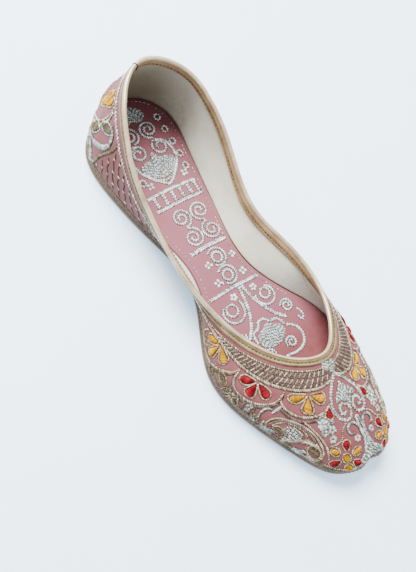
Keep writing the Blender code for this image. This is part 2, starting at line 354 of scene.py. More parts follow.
class Finish:
    """A procedural material on Blender's main shader, with short ways to add its nodes."""

    def __init__(self, name, roughness, metallic=0.0, **settings):
        self.material = bpy.data.materials.new(name)
        self.material.use_nodes = True
        self.tree = self.material.node_tree
        self.shader = self.tree.nodes["Principled BSDF"]
        self.put(self.shader, {"Roughness": roughness, "Metallic": metallic, **settings})

    def put(self, node, values):
        for name, value in values.items():
            if isinstance(value, bpy.types.NodeSocket):
                self.tree.links.new(value, node.inputs[name])
            else:
                node.inputs[name].default_value = value

    def node(self, kind, values, **choices):
        made = self.tree.nodes.new("ShaderNode" + kind)
        for name, choice in choices.items():
            setattr(made, name, choice)
        self.put(made, values)
        return made

    def place(self, scale=(1000, 1000, 1000)):
        """Coordinates on the object, in millimetres unless it is scaled otherwise."""
        coordinates = self.node("TexCoord", {}).outputs["Object"]
        return self.node("Mapping", {"Vector": coordinates, "Scale": scale}).outputs["Vector"]

    def cloth_place(self, scale=(1, 1, 1)):
        """Coordinates along and across the cloth, in millimetres unless scaled otherwise."""
        layer = self.node("UVMap", {}, uv_map="cloth").outputs["UV"]
        return self.node("Mapping", {"Vector": layer, "Scale": scale}).outputs["Vector"]

    def noise(self, vector, scale, detail=4.0, roughness=0.55):
        values = {"Vector": vector, "Scale": scale, "Detail": detail, "Roughness": roughness}
        return self.node("TexNoise", values).outputs["Fac"]

    def waves(self, scale, distortion, direction):
        """Bands across the cloth, like threads that lie side by side."""
        values = {"Vector": self.cloth_place(), "Scale": scale, "Distortion": distortion, "Detail": 2.0}
        return self.node("TexWave", values, bands_direction=direction).outputs["Fac"]

    def ramp(self, factor, *stops):
        made = self.node("ValToRGB", {"Fac": factor})
        elements = made.color_ramp.elements
        while len(elements) < len(stops):
            elements.new(0.5)
        for element, (position, colour) in zip(elements, stops):
            element.position = position
            element.color = (*colour, 1) if len(colour) == 3 else colour
        return made.outputs["Color"]

    def mix(self, factor, first, second, blend="MIX"):
        made = self.node("Mix", {}, data_type="RGBA", blend_type=blend)
        sockets = {"Factor": made.inputs[0], "A": made.inputs[6], "B": made.inputs[7]}
        for name, value in (("Factor", factor), ("A", first), ("B", second)):
            if isinstance(value, bpy.types.NodeSocket):
                self.tree.links.new(value, sockets[name])
            elif name == "Factor":
                sockets[name].default_value = value
            else:
                sockets[name].default_value = (*value, 1)
        return made.outputs[2]

    def sum(self, first, second, kind="ADD"):
        made = self.node("Math", {}, operation=kind)
        for socket, value in zip(made.inputs, (first, second)):
            if isinstance(value, bpy.types.NodeSocket):
                self.tree.links.new(value, socket)
            else:
                socket.default_value = value
        return made.outputs[0]

    def spread(self, factor, low, high):
        """A value from low to high as the factor goes from 0 to 1."""
        values = {"Value": factor, "To Min": low, "To Max": high}
        return self.node("MapRange", values).outputs["Result"]

    def bump(self, height, strength, distance, below=None):
        values = {"Height": height, "Strength": strength, "Distance": distance}
        if below is not None:
            values["Normal"] = below
        return self.node("Bump", values).outputs["Normal"]

    def tone(self):
        return self.node("Attribute", {}, attribute_name="tone").outputs["Fac"]


PINK = (0.178, 0.057, 0.060)
PINK_DEEP = (0.148, 0.044, 0.047)
PINK_PALE = (0.206, 0.070, 0.074)
INSOLE_PINK = (0.165, 0.047, 0.050)
INSOLE_DEEP = (0.138, 0.037, 0.040)
INSOLE_PALE = (0.192, 0.060, 0.064)
ROSE = (0.142, 0.046, 0.036)
# Painted light: the paler, bluer pink that the insole takes where the light falls on it
PAINTED_LIGHT_PINK = (0.215, 0.078, 0.097)


def make_cloth(name, dark, middle, pale, toned):
    """Fine satin-like cloth: crossed threads, slow changes of colour and a soft sheen.

    The colour called toned takes over where the piece's tone is 1.
    """
    finish = Finish(name, 0.62)
    shader = finish.shader
    finish.put(shader, {"Sheen Weight": 0.04, "Sheen Roughness": 0.4, "Specular IOR Level": 0.12})
    wide = finish.noise(finish.place(), 0.16, 5, 0.65)
    fine = finish.noise(finish.place(), 1.1, 5, 0.7)
    colour = finish.ramp(wide, (0.25, dark), (0.50, middle), (0.80, pale))
    colour = finish.mix(finish.tone(), colour, toned)
    warp, weft = finish.waves(0.62, 0.6, "X"), finish.waves(0.50, 0.6, "Y")
    weave = finish.sum(warp, weft, "MULTIPLY")
    shade = finish.ramp(finish.sum(weave, fine), (0.2, (0.80,) * 3), (1.2, (1.0,) * 3))
    finish.put(shader, {"Base Color": finish.mix(1.0, colour, shade, "MULTIPLY")})
    finish.put(shader, {"Roughness": finish.spread(fine, 0.5, 0.74)})
    under = finish.bump(weave, 0.35, 0.00012)
    finish.put(shader, {"Normal": finish.bump(fine, 0.25, 0.0002, under)})
    return finish.material


def make_canvas(name):
    """The lining's ribbed canvas, with slubs; where its tone is 1 it takes a painted dark brown shade."""
    finish = Finish(name, 0.85)
    shader = finish.shader
    finish.put(shader, {"Sheen Weight": 0.15, "Specular IOR Level": 0.25})
    rib, warp = finish.waves(0.42, 0.8, "X"), finish.waves(0.45, 1.2, "Y")
    slub = finish.noise(finish.cloth_place((1.2, 0.12, 1)), 1.0, 4)
    wide = finish.noise(finish.place(), 0.06, 5, 0.65)
    stops = (0.25, (0.60, 0.57, 0.46)), (0.5, (0.71, 0.69, 0.59)), (0.8, (0.81, 0.79, 0.70))
    unshaded = finish.ramp(wide, *stops)
    # Painted shade: the canvas darkens to brown where its tone rises
    colour = finish.mix(finish.tone(), unshaded, (0.15, 0.10, 0.05))
    weave = finish.sum(rib, finish.sum(warp, 0.35, "MULTIPLY"))
    shade = finish.ramp(finish.sum(weave, slub), (0.45, (0.70, 0.68, 0.63)), (1.15, (1, 1, 1)))
    finish.put(shader, {"Base Color": finish.mix(1.0, colour, shade, "MULTIPLY")})
    under = finish.bump(weave, 0.55, 0.00025)
    finish.put(shader, {"Normal": finish.bump(slub, 0.2, 0.0002, under)})
    return finish.material


def make_leather(name, dark, pale, roughness, metallic=0.0, grain=0.55, coat=0.0):
    """Fine-grained leather, paler where it is rubbed, with small pores."""
    finish = Finish(name, roughness, metallic)
    shader = finish.shader
    finish.put(shader, {"Coat Weight": coat, "Coat Roughness": 0.3})
    wide = finish.noise(finish.place(), 0.08, 4, 0.6)
    fine = finish.noise(finish.place(), 0.9, 5, 0.65)
    cells = finish.node("TexVoronoi", {"Vector": finish.place(), "Scale": grain})
    colour = finish.ramp(finish.sum(wide, finish.sum(fine, 0.3, "MULTIPLY")), (0.45, dark), (0.8, pale))
    finish.put(shader, {"Base Color": colour})
    finish.put(shader, {"Roughness": finish.spread(fine, roughness - 0.1, roughness + 0.12)})
    under = finish.bump(cells.outputs["Distance"], 0.18, 0.00015)
    finish.put(shader, {"Normal": finish.bump(fine, 0.3, 0.0002, under)})
    return finish.material


def make_thread(name, dark, middle, pale, roughness, metallic):
    """Embroidery thread: each stitch has its own tone, with fine strands along it."""
    finish = Finish(name, roughness, metallic)
    shader = finish.shader
    finish.put(shader, {"Specular IOR Level": 0.5 if metallic else 0.12})
    fine = finish.noise(finish.place(), 2.2, 3, 0.6)
    tone = finish.sum(finish.tone(), finish.spread(fine, -0.18, 0.18))
    colour = finish.ramp(tone, (0.10, dark), (0.46, middle), (0.82, pale))
    finish.put(shader, {"Base Color": colour})
    finish.put(shader, {"Normal": finish.bump(fine, 0.35, 0.0002)})
    return finish.material


# The upper's cloth and lining

CLOTH_THICKNESS = 0.0008
LINING_GAP = 0.00005
LINING_SHORT = 0.0001

# Turns over which the quarter's rosier ground begins behind and ends in front
QUARTER_BACK = (0.118, 0.136)
QUARTER_FRONT = (0.262, 0.30)


# Soft troughs as (from, to, half width, depth): places as (turn, up), sizes in mm, ridges below 0
CREASES = (
    ((0.030, 0.62), (0.088, 0.34), 3.2, 0.42), ((0.052, 0.30), (0.100, 0.16), 2.4, 0.30),
    ((0.962, 0.58), (0.915, 0.30), 3.0, 0.40), ((0.940, 0.24), (0.895, 0.14), 2.2, 0.28),
    ((0.150, 0.66), (0.215, 0.30), 2.6, -0.22), ((0.845, 0.60), (0.790, 0.34), 2.6, -0.22),
    ((0.292, 0.72), (0.322, 0.10), 2.8, 0.34), ((0.318, 0.64), (0.345, 0.12), 2.2, 0.22),
    ((0.706, 0.70), (0.676, 0.12), 2.8, 0.34), ((0.684, 0.60), (0.655, 0.14), 2.2, 0.20),
    ((0.000, 0.10), (0.000, 0.40), 3.4, -0.25), ((0.392, 0.34), (0.428, 0.10), 2.6, 0.20),
)


def crease_depth(points):
    """How deep the creases draw the cloth in."""
    depth = np.zeros(points.shape[:-1])
    for start, end, half_width, deep in CREASES:
        a, b = wall_at(np.array([start[0], end[0]]), np.array([start[1], end[1]]))
        share = np.clip((points - a) @ (b - a) / ((b - a) @ (b - a)), 0, 1)
        away = np.linalg.norm(points - (a + share[..., None] * (b - a)), axis=-1) / MM
        fade = 1 - 0.7 * np.abs(2 * share - 1) ** 2
        depth += deep * MM * fade * np.exp(-((away / half_width) ** 2))
    return depth


def wrinkles(points):
    """Small unevenness of the cloth where the embroidery draws it in, and the creases."""
    drawn_in = 0.00016 * soft_noise(points, 0.009) + 0.00010 * soft_noise(points + 0.3, 0.0035)
    return drawn_in - crease_depth(points)


def skin(turns, up, lift=0.0):
    """Points a lift above the finished cloth."""
    points = wall_at(turns, up)
    proud = wrinkles(points) + lift
    return points + proud[..., None] * wall_out(turns, up)


def shell(name, outside, inside, uv, material, tone=None):
    """A closed shell between two grids of points, rows going up the wall."""
    rows, columns = outside.shape[:2]
    points = np.concatenate([outside, inside[::-1]]).reshape(-1, 3)
    both = np.concatenate([uv, uv[::-1]]).reshape(-1, 2)
    faces = grid_faces(2 * rows, columns, True, True)
    if tone is not None:
        tone = np.concatenate([tone, tone[::-1]]).ravel()
    return make_piece(name, points, faces, [material], uv=both, tone=tone)


def cloth_uv(turns, up):
    """Distances around and up the wall in millimetres, for the weave."""
    points = wall_at(turns, up)
    steps = np.linalg.norm(np.diff(points, axis=0), axis=-1)
    climb = np.concatenate([np.zeros((1, points.shape[1])), np.cumsum(steps, axis=0)]) * 1000
    around = np.broadcast_to(turns * AROUND_IN_MM, up.shape)
    return np.stack([around, climb], axis=-1)


def make_upper():
    """The pink cloth, rosier on the quarter's plain ground, and the canvas lining behind it."""
    turns, up = np.meshgrid(np.arange(AROUND) / AROUND, np.linspace(0, 1, UP_THE_WALL))
    out = wall_out(turns, up)
    uv = cloth_uv(turns, up)
    cloth = make_cloth("pink cloth", PINK_DEEP, PINK, PINK_PALE, ROSE)
    from_heel = np.minimum(turns, 1 - turns)
    quarter = rounded(from_heel, *QUARTER_BACK) * (1 - rounded(from_heel, *QUARTER_FRONT))
    outside = skin(turns, up)
    inside = wall_at(turns, up) - CLOTH_THICKNESS * out
    upper = shell("upper_cloth", outside, inside, uv, cloth, tone=quarter)
    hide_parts("upper")
    canvas = make_canvas("lining canvas")
    points = wall_at(turns, up)
    waves = 0.00025 * soft_noise(points, 0.014)
    outside = points - (CLOTH_THICKNESS + LINING_GAP) * out
    inside = points - (WALL - LINING_SHORT + waves)[..., None] * out
    # Painted shade inside the heel: the lining darkens towards the heel's back and the foot of the wall
    painted_heel_shade = rounded(np.cos(2 * np.pi * turns), 0.72, 0.985) * (0.55 + 0.35 * (1 - up))
    lining = shell("lining", outside, inside, uv, canvas, tone=painted_heel_shade)
    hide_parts("upper")


# Plates with the sole's outline: outsole, welt and insole

SPINE_END = 0.07
RINGS = 14
WELT_REACH = 0.0030


def plate_points(rings, turns, top):
    """Rings of points from a plate's spine out to its edge and on around the rounded edge."""
    share = SPINE_END + (1 - 2 * SPINE_END) * length_share(turns)
    spine_turns = np.arccos(1 - 2 * share) / (2 * np.pi)
    inset, height = rings[0]
    spine = (edge_at(spine_turns, inset, height) + edge_at(1 - spine_turns, inset, height)) / 2
    spine[:, 1] = LENGTH * (0.5 - share)
    rim = edge_at(turns, inset, height)
    level = ground(np.clip(0.5 - rim[:, 1] / LENGTH, 0, 1)) + height
    rows = []
    for part in np.linspace(0, 1, RINGS)[:-1]:
        row = spine + part * (rim - spine)
        own = ground(np.clip(0.5 - row[:, 1] / LENGTH, 0, 1)) + height
        row[:, 2] = own + (rim[:, 2] - level) * part**4
        if top is not None:
            row[:, 2] += top(row, part)
        rows.append(row)
    for inset, height in rings:
        rows.append(edge_at(turns, inset, height))
    return rows


def make_plate(name, upper_rings, lower_rings, materials, slot, crown=None, painted_light=None):
    """A closed plate from rings given as (inset, height) for its top and its underside."""
    turns = np.arange(AROUND) / AROUND
    above = plate_points(upper_rings, turns, crown)
    below = plate_points(lower_rings, turns, None)
    rows = above + below[::-1]
    points = np.concatenate(rows)
    faces = grid_faces(len(rows), AROUND, False, True)
    index = np.arange(len(points))
    mirror = (AROUND - np.arange(AROUND)) % AROUND
    index[:AROUND] = np.minimum(np.arange(AROUND), mirror)
    last = (len(rows) - 1) * AROUND
    index[last:] = last + np.minimum(np.arange(AROUND), mirror)
    faces = index[faces][:, ::-1]
    uv = points[:, :2] * 1000
    # A plate's painted light, where it has one, goes into its tone
    tone = None if painted_light is None else painted_light(points)
    piece = make_piece(name, points, faces, materials, uv=uv, tone=tone)
    weld = piece.modifiers.new("Weld", "WELD")
    weld.merge_threshold = 1e-6
    return piece


def arc_rings(inset, low, high, radius, steps=5):
    """(inset, height) around a plate's rounded top edge, from the flat to the side's middle."""
    angles = np.linspace(0, np.pi / 2, steps)
    rings = [(inset + radius * (1 - np.sin(a)), high - radius * (1 - np.cos(a))) for a in angles]
    return rings + [(inset, (low + high) / 2)]


def turned_over(rings, low, high):
    """The same rings for a plate's underside."""
    return [(inset, low + high - height) for inset, height in rings]


def make_outsole():
    """The leather sole, with a shallow channel round its underside."""
    leather = make_leather("sole leather", (0.046, 0.024, 0.012), (0.125, 0.070, 0.036), 0.62, grain=0.4)
    rings = arc_rings(0.0, 0.0, SOLE_THICKNESS, 0.0009)
    channel = [(0.0062, 0.0), (0.0056, 0.0005), (0.005, 0.0)]
    below = turned_over(rings, 0.0, SOLE_THICKNESS)
    piece = make_plate("sole", rings, channel + below, [leather], "sole leather")
    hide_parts("outsole")


def make_welt():
    """The strip between the sole and the upper, with a rounded outer edge."""
    leather = make_leather("welt leather", (0.095, 0.055, 0.028), (0.22, 0.138, 0.078), 0.5, grain=0.6)
    turns = np.arange(AROUND * 2) / (AROUND * 2)
    low = SOLE_THICKNESS + 0.5 * GAP
    high = SOLE_THICKNESS + WELT_THICKNESS + 1.5 * GAP
    middle, radius = (low + high) / 2, (high - low) / 2
    profile = [(WELT_REACH, low), (WELT_REACH, high)]
    for angle in np.linspace(np.pi / 2, -np.pi / 2, 9):
        profile.append((0.0001 + radius * (1 - np.cos(angle)), middle + radius * np.sin(angle)))
    rows = [edge_at(turns, inset, height) for inset, height in profile]
    faces = grid_faces(len(rows), len(turns), True, True)[:, ::-1]
    points = np.concatenate(rows)
    piece = make_piece("welt_strip", points, faces, [leather], uv=points[:, :2] * 1000)
    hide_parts("welt")


INSOLE_CROWN = 0.0004


def insole_crown(row, part):
    """How far the insole's crowned top stands over a flat one, fading out at its rim."""
    level = ground(np.clip(0.5 - row[:, 1] / LENGTH, 0, 1)) + SOLE_THICKNESS + GAP + INSOLE_THICKNESS
    return (insole_top(row[:, :2]) - level) * (1 - part**8)


def insole_painted_light(points):
    """Painted light on the insole: how much paler it is painted, most under the open arch, least at the heel
    and the toe, which the walls shade.
    """
    back = LENGTH / MM / 2 - points[:, 1] / MM
    # Painted light: paler from the heel to the arch, fading into the vamp's shade at the toe
    lit_share = rounded(back, -10, 60) * (1 - rounded(back, 148, 182))
    return lit_share * (0.85 + 0.15 * soft_noise(points, 0.02))


def make_insole():
    """The padded sock on the sole."""
    cloth = make_cloth("insole cloth", INSOLE_DEEP, INSOLE_PINK, INSOLE_PALE, PAINTED_LIGHT_PINK)
    inset = UPPER_INSET + WALL + GAP
    low = SOLE_THICKNESS + GAP
    high = low + INSOLE_THICKNESS
    rings = arc_rings(inset, low, high, 0.0010)
    below = turned_over(rings, low, high)
    tops = {"crown": insole_crown, "painted_light": insole_painted_light}
    piece = make_plate("insole_pad", rings, below, [cloth], "insole cloth", **tops)
    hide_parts("insole")


# The collar's leather binding

OUTER_GROOVE = -1.95
INNER_GROOVE = -3.7
JOINT_TURN = 0.030
JOINT_RADIUS = 0.30
JOINT_ROWS = slice(6, -5)
BINDING_COLUMNS = 900
BINDING_OVERLAP = 0.004
BINDING_TAPER = 0.014

# Below this rise, in millimetres, the strip follows the wall and not its edge
LIES_ON_WALL = -1.2

# How many of the roll's rows still belong to the gold foot
GOLD_ON_ROLL = 3

# The strip's hidden side against the wall, as (rise, proud) in millimetres
BINDING_INSIDE = ((-5.2, -1.45), (-2.0, -1.65), (0.0, -1.65), (0.0, 0.05), (-2.0, 0.05), (-3.5, 0.03))


def binding_profile():
    """The strip's outside from its outer foot over the roll to its inner foot: (rise, proud)."""
    outer = [
        (-3.6, 0.05), (-3.57, 0.36), (-3.45, 0.58), (-3.2, 0.72), (-2.85, 0.76), (-2.5, 0.66),
        (-2.2, 0.42), (OUTER_GROOVE, 0.12), (-1.7, 0.24), (-1.42, 0.40), (-1.15, 0.50),
    ]
    roll = []
    for angle in np.linspace(-0.5, np.pi + 0.5, 19):
        roll.append((1.25 * np.sin(angle) - 0.2, 1.24 * np.cos(angle) - 0.82))
    inner = [
        (-1.5, -2.28), (-2.2, -2.42), (-2.9, -2.48), (-3.3, -2.42), (INNER_GROOVE, -2.20),
        (-4.1, -2.38), (-4.6, -2.50), (-5.1, -2.40), (-5.3, -2.10), (-5.3, -1.50),
    ]
    return np.array(outer + roll + inner) * MM, len(outer), len(outer) + len(roll)


def make_joint(profile):
    """The dark ring where the binding's two ends meet."""
    turns = np.array([JOINT_TURN])
    edge, out = wall_at(turns, 1)[0], wall_out(turns, 1)[0]
    climb = unit(edge - wall_at(turns, 1 - TINY)[0])
    along = np.cross(out, climb)
    rise, proud = profile[JOINT_ROWS, 0], profile[JOINT_ROWS, 1] * 1.05
    path = edge + rise[:, None] * climb + proud[:, None] * out
    ahead = unit(np.gradient(path, axis=0))
    above = np.cross(ahead, along)
    rows = []
    for angle in np.arange(8) * np.pi / 4:
        rows.append(path + JOINT_RADIUS * MM * (np.cos(angle) * 1.4 * along + np.sin(angle) * above))
    faces = grid_faces(len(rows), len(path), True, False)
    leather = make_leather("joint leather", (0.020, 0.014, 0.010), (0.050, 0.036, 0.026), 0.5)
    points = np.concatenate(rows)
    make_piece("collar_joint", points, faces, [leather], uv=points[:, :2] * 1000)


def make_binding():
    """The strip folded over the collar's edge: gold foot outside, cream roll, tan foot inside."""
    profile, roll_from, inner_from = binding_profile()
    round_it = np.linspace(0, 1 + BINDING_OVERLAP, BINDING_COLUMNS)
    turns = JOINT_TURN + round_it
    end = np.clip((round_it - 1 + BINDING_TAPER) / BINDING_TAPER, 0, 1)
    edge = wall_at(turns, 1)
    out = wall_out(turns, 1)
    step = edge - wall_at(turns, 1 - TINY)
    speed = np.linalg.norm(step, axis=1) / TINY
    climb = step / TINY / speed[:, None]
    sway = 0.00022 * soft_noise(edge, 0.016) + 0.00008 * soft_noise(edge + 0.2, 0.005)
    swell = 1 + 0.05 * soft_noise(edge + 0.5, 0.010) - 0.14 * rounded(end, 0, 1)
    rows = []
    for rise, proud in profile:
        lift = proud * swell + sway
        if rise < LIES_ON_WALL * MM:
            up = 1 + rise / speed
            rows.append(wall_at(turns, up) + lift[:, None] * wall_out(turns, up))
        else:
            centre = -WALL / 2
            lift = centre + (proud - centre) * swell + sway
            rows.append(edge + (rise * swell)[:, None] * climb + lift[:, None] * out)
    inside = []
    for rise, proud in BINDING_INSIDE:
        up = np.minimum(1 + rise * MM / speed, 1)
        inside.append(wall_at(turns, up) + proud * MM * wall_out(turns, up))
    rows = rows + inside
    count = len(rows)
    faces = grid_faces(count, BINDING_COLUMNS, True, False)
    sides = np.repeat(np.arange(count), BINDING_COLUMNS - 1)
    outer = np.where(sides < roll_from + GOLD_ON_ROLL, 2, 0)
    materials = np.where(sides >= inner_from - 1, 1, outer)
    points = np.concatenate(rows)
    along = travelled(edge) / MM
    across = np.concatenate([travelled(profile) / MM, np.zeros(len(inside))])
    uv = np.stack(np.broadcast_arrays(along[None, :], across[:, None]), axis=-1).reshape(-1, 2)
    looks = (
        ("cream leather", (0.30, 0.215, 0.125), (0.56, 0.44, 0.29), 0.30, 0.30, 0.9, 0.35),
        ("tan leather", (0.18, 0.105, 0.045), (0.34, 0.22, 0.11), 0.5, 0.15, 0.9),
        ("gold leather", (0.10, 0.066, 0.024), (0.25, 0.180, 0.082), 0.36, 0.3, 0.9),
    )
    finishes = [make_leather(*look) for look in looks]
    piece = make_piece("collar_roll", points, faces, finishes, materials, uv)
    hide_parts("collar_binding")
    make_joint(profile)


def seam(work, path, outs, pitch, length, width, height, arch=0.0):
    """A row of small stitches along a path; the sizes are in millimetres."""
    gone = travelled(path)
    at = np.arange(0.5, gone[-1] / MM - 2, pitch) * MM
    starts, ends = read_at(at, gone, path), read_at(at + length * MM, gone, path)
    tones = 0.5 + shaken(len(at), -0.3, 0.3)
    work.add("seam", starts, ends, unit(read_at(at, gone, outs)), width * MM, height * MM, tones, arch * MM)


def stitch_binding():
    """A row of small stitches in each of the binding's grooves."""
    work = Threads("binding", "binding leather")
    turns = np.linspace(0.02, 1.02, 1600)
    edge = wall_at(turns, 1)
    speed = np.linalg.norm(edge - wall_at(turns, 1 - TINY), axis=1) / TINY
    for rise, proud in ((OUTER_GROOVE, 0.24), (INNER_GROOVE, -2.28)):
        up = 1 + rise * MM / speed
        out = wall_out(turns, up)
        path = wall_at(turns, up) + proud * MM * out
        seam(work, path, out * np.sign(proud), 2.05, 1.45, 0.75, 0.32, 0.05)
    return work


# Cloths that embroidery lies on: each turns places on it into points and outward directions


def upper_cloth(places, lift=0.0):
    """Places are (turn, up)."""
    turns, up = places[..., 0], places[..., 1]
    return skin(turns, up, lift), wall_out(turns, up)


def insole_top(plan):
    """Height of the insole's top over places in plan."""
    share = np.clip(0.5 - plan[..., 1] / LENGTH, 0.001, 0.999)
    turns = np.arccos(1 - 2 * share) / (2 * np.pi)
    left, right = edge_plan(turns)[..., 0], edge_plan(1 - turns)[..., 0]
    off_middle = np.abs(plan[..., 0] - (left + right) / 2) / ((right - left) / 2)
    level = ground(share) + SOLE_THICKNESS + GAP + INSOLE_THICKNESS
    flat = np.concatenate([plan, np.zeros(plan.shape[:-1] + (1,))], axis=-1)
    puffs = 0.00012 * soft_noise(flat, 0.012)
    return level + INSOLE_CROWN * (1 - np.clip(off_middle, 0, 1) ** 3) + puffs


def insole_cloth(places, lift=0.0):
    """Places are (x, y) in the part's raw frame."""
    height = insole_top(places)[..., None]
    slope_x = (insole_top(places + [TINY, 0])[..., None] - height) / TINY
    slope_y = (insole_top(places + [0, TINY])[..., None] - height) / TINY
    out = unit(np.concatenate([-slope_x, -slope_y, np.ones_like(height)], axis=-1))
    return np.concatenate([places, height], axis=-1) + lift * out, out


# Charts: how the places of a design, in millimetres on the real shoe, become places on a cloth

MERIDIAN = np.linspace(0, 1, 60)
PLAN_GRID = np.stack(np.meshgrid(np.linspace(0.24, 0.5, 90), np.linspace(0, 1, 30), indexing="ij"), axis=-1)
PLAN_GRID = PLAN_GRID.reshape(-1, 2)
PLAN_POINTS = wall_at(PLAN_GRID[:, 0], PLAN_GRID[:, 1])[:, :2]


def vamp_middle(back):
    """x of the vamp's middle line, in millimetres, at a distance from the heel's back."""
    return 10.0 + 1.6 * np.clip((back - 190) / 58, 0, 1)


def by_plan(points):
    """(across, back): across runs outwards from the vamp's middle line, back from the heel."""
    points = np.asarray(points, float)
    across, back = points[..., 0], points[..., 1]
    mirrored = across < 0
    target = np.stack([vamp_middle(back) - np.abs(across), LENGTH / MM / 2 - back], axis=-1) * MM
    flat = target.reshape(-1, 2)
    nearest = [np.argmin(((PLAN_POINTS - goal) ** 2).sum(axis=1)) for goal in flat]
    places = PLAN_GRID[nearest].copy()
    for _ in range(5):
        turns, up = places[:, 0], places[:, 1]
        here = wall_at(turns, up)[:, :2]
        by_turn = (wall_at(turns + TINY, up)[:, :2] - here) / TINY
        by_up = (wall_at(turns, up - TINY)[:, :2] - here) / -TINY
        slopes = np.stack([by_turn, by_up], axis=-1)
        step = np.linalg.solve(slopes, (flat - here)[..., None])[..., 0]
        places = places + np.clip(step, -0.05, 0.05)
        places[:, 1] = np.clip(places[:, 1], 0.01, 0.995)
        places[:, 0] = np.clip(places[:, 0], 0.2, 0.5)
    places = places.reshape(points.shape)
    places[..., 0] = np.where(mirrored, 1 - places[..., 0], places[..., 0])
    return places


def up_the_wall(points, from_collar):
    """(turn, distance) as places: the distance runs up from the foot, or down from the collar."""
    points = np.asarray(points, float)
    turns, rise = points[..., 0], points[..., 1] * MM
    path = wall_at(turns[..., None], MERIDIAN)
    steps = np.linalg.norm(np.diff(path, axis=-2), axis=-1)
    climbed = np.concatenate([np.zeros(steps.shape[:-1] + (1,)), np.cumsum(steps, axis=-1)], axis=-1)
    if from_collar:
        rise = climbed[..., -1] - rise
    rows = climbed.reshape(-1, len(MERIDIAN))
    up = [np.interp(goal, row, MERIDIAN) for goal, row in zip(np.ravel(rise), rows)]
    return np.stack([turns, np.reshape(up, turns.shape)], axis=-1)


def by_collar(points):
    """(turn, down): down is the distance down the wall from the collar's edge."""
    return up_the_wall(points, True)


def by_foot(points):
    """(turn, rise): rise is the distance up the wall from its foot."""
    return up_the_wall(points, False)


def level_line(turns, distance):
    """A chart's line of turns at one distance from the collar or the foot."""
    return np.stack([turns, np.full(len(turns), distance)], axis=-1)


def by_insole(points):
    """(x, back) of the insole, back from the heel."""
    points = np.asarray(points, float)
    return np.stack([points[..., 0], LENGTH / MM / 2 - points[..., 1]], axis=-1) * MM


def other_side(places):
    """The same places on the shoe's other side."""
    return np.stack([1 - places[..., 0], places[..., 1]], axis=-1)


def smooth_line(points, closed=False, steps=12):
    """A smooth line through the points, each stretch cut into steps."""
    points = np.asarray(points, float)
    if closed:
        padded = np.concatenate([points[-1:], points, points[:2]])
    else:
        padded = np.concatenate([2 * points[:1] - points[1:2], points, 2 * points[-1:] - points[-2:-1]])
    t = (np.arange(steps) / steps)[:, None]
    parts = []
    for before, start, end, after in zip(padded, padded[1:], padded[2:], padded[3:]):
        bend = 2 * before - 5 * start + 4 * end - after
        twist = 3 * start - before - 3 * end + after
        parts.append((2 * start + (end - before) * t + bend * t**2 + twist * t**3) / 2)
    parts.append(padded[-2:-1])
    return np.concatenate(parts)


def spiral(centre, wide, narrow, start, turns, steps=48):
    """A line that winds in from a wide to a narrow radius; start is in degrees."""
    angles = np.radians(start) + 2 * np.pi * np.linspace(0, turns, steps)
    radius = np.linspace(wide, narrow, steps)
    return np.stack([centre[0] + radius * np.cos(angles), centre[1] + radius * np.sin(angles)], axis=-1)


# Stitches

STITCH_FACES = np.array([
    (0, 2, 1), (0, 3, 2), (0, 1, 3), (1, 2, 5), (1, 5, 4), (2, 3, 6),
    (2, 6, 5), (3, 1, 4), (3, 4, 6), (7, 4, 5), (7, 5, 6), (7, 6, 4),
])
SHOULDERS = (0.2, 0.8)
MOST_STITCHES = 15000

# The low dark strip along a line, in millimetres: painted shade under stitches, or a scale's dark line
BED_STEP = 0.9
BED_HEIGHT = 0.12

# How far along a line its direction is looked for, each way, in millimetres
LOOK = 0.2

# How far above the cloth the different stitches start
BED_LIFT = 0.00003
RUNNING_LIFT = 0.00005
STITCH_LIFT = 0.00006
ROPE_LIFT = 0.00008


class Threads:
    """Gathers stitches by thread, and makes a mesh piece of each thread's closed little bodies."""

    def __init__(self, name, slot):
        self.name = name
        self.slot = slot
        self.stitches = {}
        self.beds = {}

    def add(self, thread, starts, ends, outs, width, height, tones, arch=0.0):
        """Stitches from starts to ends; an arch lifts their middles."""
        count = len(starts)
        if count == 0:
            return
        sizes = [np.broadcast_to(value, (count,)) for value in (width, height, tones, arch)]
        self.stitches.setdefault(thread, []).append((starts, ends, outs, *sizes))

    def add_bed(self, thread, points, faces):
        """A closed low dark strip along a line: painted shade under stitches, or a dark line of the scales.
        """
        self.beds.setdefault(thread, []).append((points, faces))

    def make(self, finishes):
        """Makes the pieces: each stitch is pointed at both ends, with a ridge between its shoulders."""
        for thread, rows in self.stitches.items():
            starts, ends, outs, width, height, tones, arch = (np.concatenate(part) for part in zip(*rows))
            along = unit(ends - starts)
            side = unit(np.cross(along, outs))
            lift = np.cross(side, along)
            corners = [starts]
            for place in SHOULDERS:
                middle = starts + place * (ends - starts) + arch[:, None] * lift
                corners.append(middle - side * width[:, None] / 2)
                corners.append(middle + lift * height[:, None])
                corners.append(middle + side * width[:, None] / 2)
            corners.append(ends)
            points = np.stack(corners, axis=1)
            for number, first in enumerate(range(0, len(points), MOST_STITCHES)):
                block = points[first : first + MOST_STITCHES]
                faces = STITCH_FACES + 8 * np.arange(len(block))[:, None, None]
                tone = np.repeat(tones[first : first + MOST_STITCHES], 8)
                name = f"{self.name}_{thread}_{number}"
                block, faces = block.reshape(-1, 3), faces.reshape(-1, 3)
                make_piece(name, block, faces, [finishes[thread]], tone=tone)
        for thread, rows in self.beds.items():
            offsets = np.cumsum([0] + [len(points) for points, _ in rows])
            points = np.concatenate([part for part, _ in rows])
            faces = np.concatenate([part + offset for (_, part), offset in zip(rows, offsets)])
            tone = np.full(len(points), 0.5)
            make_piece(f"{self.name}_{thread}_bed", points, faces, [finishes[thread]], tone=tone)


